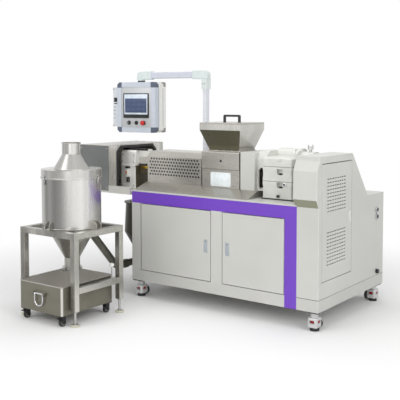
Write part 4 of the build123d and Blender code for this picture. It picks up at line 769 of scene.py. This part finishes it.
plate_spot = (plinth_high.x - 858 * mm, feed_low.y, feed_low.z + 60 * mm)
Shape().bar(plate_spot, (-86, -1.6, -50), (86, 0, 50), 1.2).piece("blank_plate", plate_white, "painted")
rivet_spots = spots_from(plate_spot, (-79, 79), [-1.6], (-43, 43))
Shape().pan_screws(rivet_spots, -Y, 3).piece("plate_rivets")
port_spot = (plinth_high.x - 854 * mm, wrap_low.y, wrap_low.z + 59 * mm)
wrap_port = Shape().lathe(port_spot, -Y, ((9, 0), (9, 1.4), (6.5, 1.8), (6, 0.4), (0, 0.4)), 28)
wrap_port.piece("probe_port", black, "black_plastic")

cover_foot = (cover_high.x, cover_low.y, cover_high.z)
# A dark sheet of painted shade behind the cover's holes
hole_shadow_sheet = Shape().block(beside(cover_low, 8, 5, 40), beside(cover_foot, -8, 7, -44), 0.5)
hole_shadow_sheet.piece("cover_hole_shadow", rubber, "black_plastic")
wrap_foot = (feed_low.x, feed_low.y, wrap_low.z)
wrap_foot_end = (feed_high.x, feed_low.y, wrap_low.z)
# A dark strip of painted shadow under the wrap's lower edge
wrap_shadow_line = Shape().block(beside(wrap_foot, 0, -1.5, -2.4), wrap_foot_end, 0.2)
wrap_shadow_line.piece("wrap_shadow_line", rubber, "rubber")

# Hopper flange bolts
hopper_low, hopper_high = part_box("hopper")
hopper_middle = (hopper_low + hopper_high) / 2
flange = (hopper_middle.x, hopper_middle.y, hopper_low.z)
flange_x, flange_y = 130, 100
flange_spots = spots_from(flange, rows(-flange_x, flange_x, 5), (-flange_y, flange_y), [5])
flange_spots += spots_from(flange, (-flange_x, flange_x), rows(-flange_y, flange_y, 4)[1:-1], [5])
Shape().hex_bolts(flange_spots, Z, 4).piece("hopper_bolts")

# Lantern and gearbox: closing plates, one of them dark as painted shade, black pocket bolts, painted shadow
# at the foot and in the joint grooves, sight glass and boss
cap_low, cap_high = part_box("gearbox_upper")
split_z = gear_high.z
cap_line = split_z + 98 * mm
pocket_x = gear_high.x - 91 * mm
pocket_floors = (split_z - 42 * mm, cap_line - 52 * mm)
# The pocket bolts are black: a dark bolt finish that also paints the shade in the pockets
gear_bolts = Shape().hex_bolts(grid([pocket_x], [gear_low.y + 16 * mm], pocket_floors), Z, 12)
gear_bolts.piece("gearbox_bolts", black, "black_plastic")


def lantern_plate(name, x, finish):
    """A plate with a round crown that closes one end of the lantern's hollow."""
    wall, crown = 16 * mm, 54 * mm
    near, far = lantern_low.y + wall, lantern_high.y - wall
    crown_z = lantern_high.z - wall - crown
    outline = quarter((x, far - crown, crown_z), crown, 0, Y, Z, 8)
    outline += quarter((x, near + crown, crown_z), crown, 90, Y, Z, 8)
    outline += [(x, near, lantern_low.z), (x, far, lantern_low.z)]
    Shape().prism(outline, X * 3 * mm).piece(name, finish, "cast")


lantern_plate("lantern_end_plate", lantern_high.x - 4 * mm, cast_paint)
# A dark plate of painted shade closes the far end, seen through the lantern's window
lantern_plate("lantern_shade_plate", lantern_low.x + 1 * mm, hot_iron_and_shade)

gear_foot = (gear_high.x, gear_low.y, gear_low.z)
# A dark strip of painted shadow under the gearbox's foot
foot_shadow = Shape().block(beside(gear_low, -2, -6, 0), beside(gear_foot, 24, 0, 8), 1)
foot_shadow.piece("gearbox_foot_shadow", rubber, "rubber")
# Dark strips of painted shade in the gearbox's joint grooves
groove_shadows = Shape()
for line_z in (split_z, cap_line):
    line_start = (gear_low.x, gear_low.y, line_z)
    line_corner = (gear_high.x, gear_low.y, line_z)
    line_end = (gear_high.x, gear_high.y, line_z)
    groove_shadows.block(beside(line_start, 8, 3, 0), beside(line_corner, -10, 6, 3), 0.4)
    groove_shadows.block(beside(line_corner, -6, 12, 0), beside(line_end, -3, 0, 3), 0.4)
groove_shadows.piece("gearbox_groove_shadows", hot_iron_and_shade, "cast")
sight_spot = beside((gear_high.x, gear_low.y, split_z), -51, -10, -15)
sight_rim = ((11, -3), (12, -2), (12, 1.5), (9.5, 2.4), (7.4, 1), (7.4, -1))
Shape().lathe(sight_spot, -Y, sight_rim, 28).piece("sight_ring", chrome)
Shape().lathe(sight_spot, -Y, ((7.4, 0), (5, 0.8), (0, 1)), 24).piece("sight_lens", gloss_black, "screen")
gear_boss = Shape().bar((pocket_x, cap_low.y, cap_high.z), (-14, -7, -27), (14, 12, -4), 4)
gear_boss.piece("gearbox_boss", cast_paint, "cast")

# Pellet cutter: guard screws and port edging
guard_low, guard_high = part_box("guard_hood")
front_low, front_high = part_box("guard_front")
front_zs = (front_low.z + 18 * mm, front_high.z - 22 * mm)
top_xs, top_ys = rows(*ends(guard_low.x, guard_high.x, 24), 4), ends(guard_low.y, guard_high.y, 16)
side_ys = rows(*ends(guard_low.y, guard_high.y, 100), 5)
top_spots = grid(top_xs, top_ys, [guard_high.z]) + grid([guard_high.x - 16 * mm], side_ys, [guard_high.z])
front_spots = grid(ends(front_low.x, front_high.x, 18), [front_low.y], front_zs)
Shape().pan_screws(front_spots, -Y, 5).pan_screws(top_spots, Z, 4).piece("guard_screws")

port_front, port_back = ends(guard_low.y, guard_high.y, 106)
port_top, port_bevel = guard_high.z - 23 * mm, 35 * mm
port_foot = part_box("cutter_bed")[1].z - 38 * mm


def port_path(out):
    """The guard port's outline, moved out by a width."""
    mitre = out * math.tan(math.radians(22.5))
    front, back, top = port_front - out, port_back + out, port_top + out
    shoulder = port_top - port_bevel + mitre
    corners = [(front, port_foot), (front, shoulder), (port_front + port_bevel - mitre, top),
               (port_back - port_bevel + mitre, top), (back, shoulder), (back, port_foot)]
    return [(guard_high.x, y, z) for y, z in corners]


port_edge = Shape().tube(port_path(0), 4 * mm)
port_edge.prism(port_path(0) + port_path(17 * mm)[::-1], X * 4 * mm)
port_edge.piece("port_edging", rubber, "rubber")

# Chamber and die: bolts, heater band, probe and switch mark
ledge_z = chamber_low.z + 177 * mm
chamber_zs = (ledge_z + 34 * mm, ledge_z + 86 * mm, chamber_low.z + 26 * mm)
die_ys, die_zs = ends(die_low.y, die_high.y, 16), ends(die_low.z, die_high.z, 16)
chamber_spots = grid(ends(chamber_low.x, chamber_high.x, 18), [chamber_low.y + 8 * mm], chamber_zs)
foot_spots = spots_from((die_low.x, chamber_low.y, chamber_low.z), rows(6, 88, 4), [-8], [0])
chamber_bolts = Shape().cap_screws(chamber_spots, -Y, 7)
chamber_bolts.hex_bolts(grid([die_high.x], die_ys, die_zs), X, 9).hex_bolts(foot_spots, Z, 10)
chamber_bolts.piece("cutter_bolts", chrome)

barrel_low, barrel_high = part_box("barrel")
barrel_y = (barrel_low.y + barrel_high.y) / 2
band_bore = (barrel_high.y - barrel_low.y) / 2 / mm + 0.3
band = [(band_bore + out, along) for out, along in ((0, 0), (6, 0), (8, 2), (8, 24), (6, 26), (0, 26))]
die_front = (die_low.x, barrel_y - 61 * mm, axis_z)
heater = Shape().lathe((die_high.x + 6 * mm, barrel_y, axis_z), X, band, 48)
heater.bar(die_front, (16, -4, -24), (96, 0, -2), 1.5)
heater.piece("heater_band", brass)
probe = ((0, 0), (5, 0), (6, 1), (6, 70), (9, 72), (9, 86), (0, 86))
terminal = Shape().lathe(beside(die_front, 2, -7, 8), X, probe, 20)
terminal.bar((die_high.x, barrel_low.y, axis_z), (8, -30, -12), (30, -6, 12), 3)
terminal.piece("heater_terminal", black, "black_plastic")
switch_spot = ((chamber_low.x + chamber_high.x) / 2, chamber_low.y, ledge_z)
Shape().bar(switch_spot, (-9, -16.6, -62), (5, -15, -42), 0.6).piece("switch_mark", orange, "black_plastic")

# Pellet funnel: plate bolts
funnel_low, funnel_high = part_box("pellet_funnel")
funnel_middle = (funnel_low + funnel_high) / 2
funnel_plate = (funnel_middle.x, funnel_middle.y, funnel_high.z - 94 * mm)
funnel_spots = [beside(funnel_plate, 100 * math.cos(t), 100 * math.sin(t)) for t in turns(8, 22.5)]
Shape().hex_bolts(funnel_spots, Z, 6).piece("funnel_bolts")

# Cyclone station: foot nuts, weld beads, lid clips, clamp screw, knob and lug bolts
nut = ((9, 0), (13, 1.5), (13, 9), (9, 10.5))
nuts = Shape()
for spot in grid(ends(rail_low.x, rail_high.x, 20), ends(rail_low.y, rail_high.y, 20), (14 * mm, 84 * mm)):
    nuts.lathe(spot, Z, nut, 6)
nuts.piece("foot_nuts")

shell_radius, neck_radius = 200, 63
bead = ((-1, -2.5), (1, -2), (1.8, 0), (1, 2), (-1, 2.5))
neck_rim = ((-3, -6), (2, -6), (3, -4), (3, -1), (1.5, 0), (-3, 0))
seam_places = ((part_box("cyclone_shell")[0].z + 4 * mm, shell_radius, bead, 96),
               (lid_low.z + 8 * mm, shell_radius + 4, bead, 96), (neck_foot, neck_radius, bead, 96),
               (lid_high.z - 177 * mm, 120, bead, 96), (lid_high.z, neck_radius, neck_rim, 72))
seams = Shape()
for seam_z, radius, section, sides in seam_places:
    seams.lathe((cyclone_x, cyclone_y, seam_z), Z, [(radius + out, up) for out, up in section], sides)
seams.piece("cyclone_seams", brushed_x, "stainless")

for clip_turn in (15, 135, 255):
    clip_frame = Matrix.Rotation(math.radians(clip_turn), 4, "Z")
    clip_frame = Matrix.Translation((cyclone_x, cyclone_y, lid_low.z)) @ clip_frame
    wall_face = (shell_radius * mm, 0, 0)
    clip = Shape()
    clip.bar(wall_face, (1, -11, -34), (7, 11, -6), 1.5)
    clip.bar(wall_face, (7, -5, -40), (13, 5, 12), 2)
    clip.bar(wall_face, (4, -10, 12), (12, 10, 24), 2)
    clip.piece("lid_clip_%d" % clip_turn, matrix=clip_frame)

clamp_low, clamp_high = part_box("outlet_clamp")
clamp_spot = (cyclone_x, clamp_low.y + 12 * mm, (clamp_low.z + clamp_high.z) / 2)
clamp = Shape().hex_bolts([beside(clamp_spot, 7)], X, 7)
clamp.lathe(beside(clamp_spot, -7), -X, ((4, 0), (4, 16), (0, 16)), 16)
clamp.bar(clamp_spot, (-28, -18, -4), (-19, 18, 4), 3)
clamp.piece("clamp_screw")

knob_foot = (rail_high.x - 30 * mm, rail_high.y - 85 * mm, 250 * mm)
Shape().lathe(knob_foot, Z, ((9, 0), (9, 6), (4, 7), (4, 84), (0, 84)), 20).piece("knob_stem")
ball = ((0, 0), (8, 0), (16, 5), (18, 12), (16, 20), (9, 25), (0, 26))
Shape().lathe(beside(knob_foot, z=76), Z, ball, 28).piece("clamp_knob", white_plastic, "caster_grey")

rail_top = (cyclone_x, cyclone_y, rail_high.z)
lug_spots = [beside(rail_top, x, y, 5) for x, y in ((232, 0), (0, 214), (-232, 0), (0, -214))]
Shape().hex_bolts(lug_spots, Z, 7).piece("lug_bolts")

# Rolling bin: rolled rim, handle plate and grip, wheel hubs, brakes and swivels
bend = 18 * mm
rim_points = []
for bend_x, bend_y, first in (
        (tub_high.x - bend, tub_high.y - bend, 0), (tub_low.x + bend, tub_high.y - bend, 90),
        (tub_low.x + bend, tub_front + bend, 180), (tub_high.x - bend, tub_front + bend, 270)):
    rim_points += quarter((bend_x, bend_y, tub_high.z), bend, first, X, Y)
Shape().tube(rim_points, 3.5 * mm, closed=True).piece("bin_rim", brushed_x, "stainless", "bin")

bail_pivot = (cyclone_x, tub_front, tub_high.z - 64 * mm)
plate_sheet = -Y * 1.5 * mm
outline = []
plate_arcs = ((44, 10, 10, 0), (-44, 10, 10, 90), (-24, -22, 30, 180), (24, -22, 30, 270))
for arc_x, arc_z, radius, first in plate_arcs:
    outline += quarter(beside(bail_pivot, arc_x, 0, arc_z), radius * mm, first, X, Z)
handle_plate = Shape().prism(outline, plate_sheet)
handle_plate.tube([point + plate_sheet for point in outline], 1.8 * mm, closed=True)
handle_plate.piece("handle_plate", bin_steel, "stainless", "bin")
grip = ((0, 0), (3.85, 0), (5.5, 2), (5.5, 84), (3.85, 86), (0, 86))
Shape().lathe(beside(bail_pivot, -43, -7, 0), X, grip, 20).piece("bail_grip", chrome, body="bin")

wheel_cap = ((16, -2), (16, 0.4), (14, 1), (6, 0.6), (4.2, 0.6), (4.2, -2))
for name in ("left_front", "left_back", "right_front", "right_back"):
    wheel_low, wheel_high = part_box("bin_wheel_" + name)
    axle = (wheel_low + wheel_high) / 2
    wheel_hub = Shape()
    for place, outward in ((wheel_low.x, -X), (wheel_high.x, X)):
        wheel_hub.lathe((place, axle.y, axle.z), outward, wheel_cap)
    wheel_hub.piece("wheel_hub_" + name, body="wheel_" + name)

fork_xs = ends(tub_low.x, tub_high.x, 34)
race = ((17, 0), (22, 3), (22, 7), (18, 10))
brakes, swivels = Shape(), Shape()
for fork_x in fork_xs:
    brakes.bar((fork_x, tub_front, 0), (-12, -10, 54), (12, 22, 60), 2)
for spot in grid(fork_xs, ends(tub_front, tub_high.y, 34), [58 * mm]):
    swivels.lathe(spot, Z, race)
brakes.piece("caster_brakes", black, "black_plastic", "bin")
swivels.piece("caster_swivels", black, "black_plastic", "bin")

# Operator box, in a frame whose X runs along the face, Y up and Z out of the face
facing_out = Matrix((along_arm, Z, out_of_face)).transposed().to_4x4()
on_box = ("operator_box", Matrix.Translation((swivel.x, swivel.y, 0)) @ facing_out)
box_top = (0, swivel.z, 0)
face = beside(box_top, z=79)
Shape().bar(face, (-142, -367, -1), (142, -41, 0.8), 0.4).piece("face_plate", face_grey, "box_alloy", *on_box)

screen = beside(face, 0, -90, 9)
for name, finish, low, high, bevel in (
        ("screen_glass", gloss_black, (-120, -199, -1.2), (120, -1, 0), 0.5),
        ("screen_border", screen_white, (-111, -171, -0.5), (111, -8, 0.4), 0.3),
        ("screen_field", screen_blue, (-103, -157, 0), (103, -42, 0.8), 0.3)):
    Shape().bar(screen, low, high, bevel).piece(name, finish, "screen", *on_box)
tiles = Shape()
for tile in spots_from(screen, rows(-72, 72, 4), (-52, -86, -120), [0]):
    tiles.bar(tile, (-19, -26, 0.5), (19, 0, 1.1), 0.3)
tiles.piece("screen_tiles", screen_tile, "screen", *on_box)

selector = beside(face, y=-329)
control_pitch = 71
collar = ((17, 0), (17, 3), (15, 5), (10.3, 5), (10.3, 3))
rings = Shape()
for control_x in (-control_pitch, 0, control_pitch):
    rings.lathe(beside(selector, control_x), Z, collar, 36)
rings.piece("control_rings", black, "black_plastic", *on_box)
mushroom = ((12, 0), (19, 2), (19, 7), (16, 10.6), (8, 12), (0, 12.2))
stop = Shape().lathe(beside(selector, control_pitch, 0, 19), Z, mushroom, 40)
stop.piece("stop_button", red, "black_plastic", *on_box)
marks = Shape().bar(selector, (-2, -8, 26), (2, 8, 27.6), 0.6)
marks.lathe(beside(selector, -control_pitch, 0, 20), Z, ((6, -1), (6, 0.6), (5, 1), (0, 1)), 24)
marks.piece("control_marks", lamp_grey, "black_plastic", *on_box)

rear_caps = Shape()
for cap in spots_from(box_top, (-160.5, 160.5), (-20, -388), [-62]):
    rear_caps.bar(cap, (-23, -21, -22), (23, 21, 22), 8, 3)
rear_caps.piece("rear_corner_caps", taupe, "slate_plastic", *on_box)
seam_strips = Shape()
for strip in spots_from(box_top, (182, -183.5), [0], (28, -36)):
    seam_strips.bar(strip, (0, -360, -1.5), (1.5, -48, 1.5), 0.5)
seam_strips.piece("box_seams", slate, "slate_plastic", *on_box)

wing = beside(box_top, -209, 0, 69)
wing_display = Shape()
wing_display.bar(wing, (-15, -160, -1), (19, -125, 1.5), 0.8)
wing_display.bar(wing, (-13, -176, -1), (17, -168, 1), 0.8)
wing_display.piece("wing_display", gloss_black, "screen", *on_box)
wing_lamps, wing_knobs = Shape(), Shape()
for lamp_drop in rows(200, 290, 4):
    wing_lamps.lathe(beside(wing, -7, -lamp_drop), Z, ((5, 0), (5, 2), (3, 4), (0, 4.5)), 24)
wing_lamps.piece("wing_lamps", lamp_grey, "screen", *on_box)
for knob_drop in (52, 352):
    wing_knobs.lathe(beside(wing, -18, -knob_drop, -2), Z, ((7, 0), (7, 6), (5, 8), (0, 8)), 24)
wing_knobs.piece("wing_knobs", zinc, "bright_steel", *on_box)

# Post and arm: flange bolts, collar screws and the band at the swivel
post_foot, post_head = (post.x, post.y, post_low.z), (post.x, post.y, post_high.z)
post_bolts = Shape().hex_bolts(spots_from(post_foot, (-36, 36), (-36, 36), [10]), Z, 8)
post_bolts.cap_screws(spots_from(post_head, (-12, 12), [-32], [-36]), -Y, 5).piece("post_bolts")
swivel_band = Shape().lathe(beside(swivel, z=1.5), Z, ((29.2, 0), (31, 1.5), (31, 10), (29.2, 11.5)), 48)
swivel_band.piece("swivel_band", black, "black_plastic", "arm")

bpy.context.scene.view_settings.view_transform = "Standard"
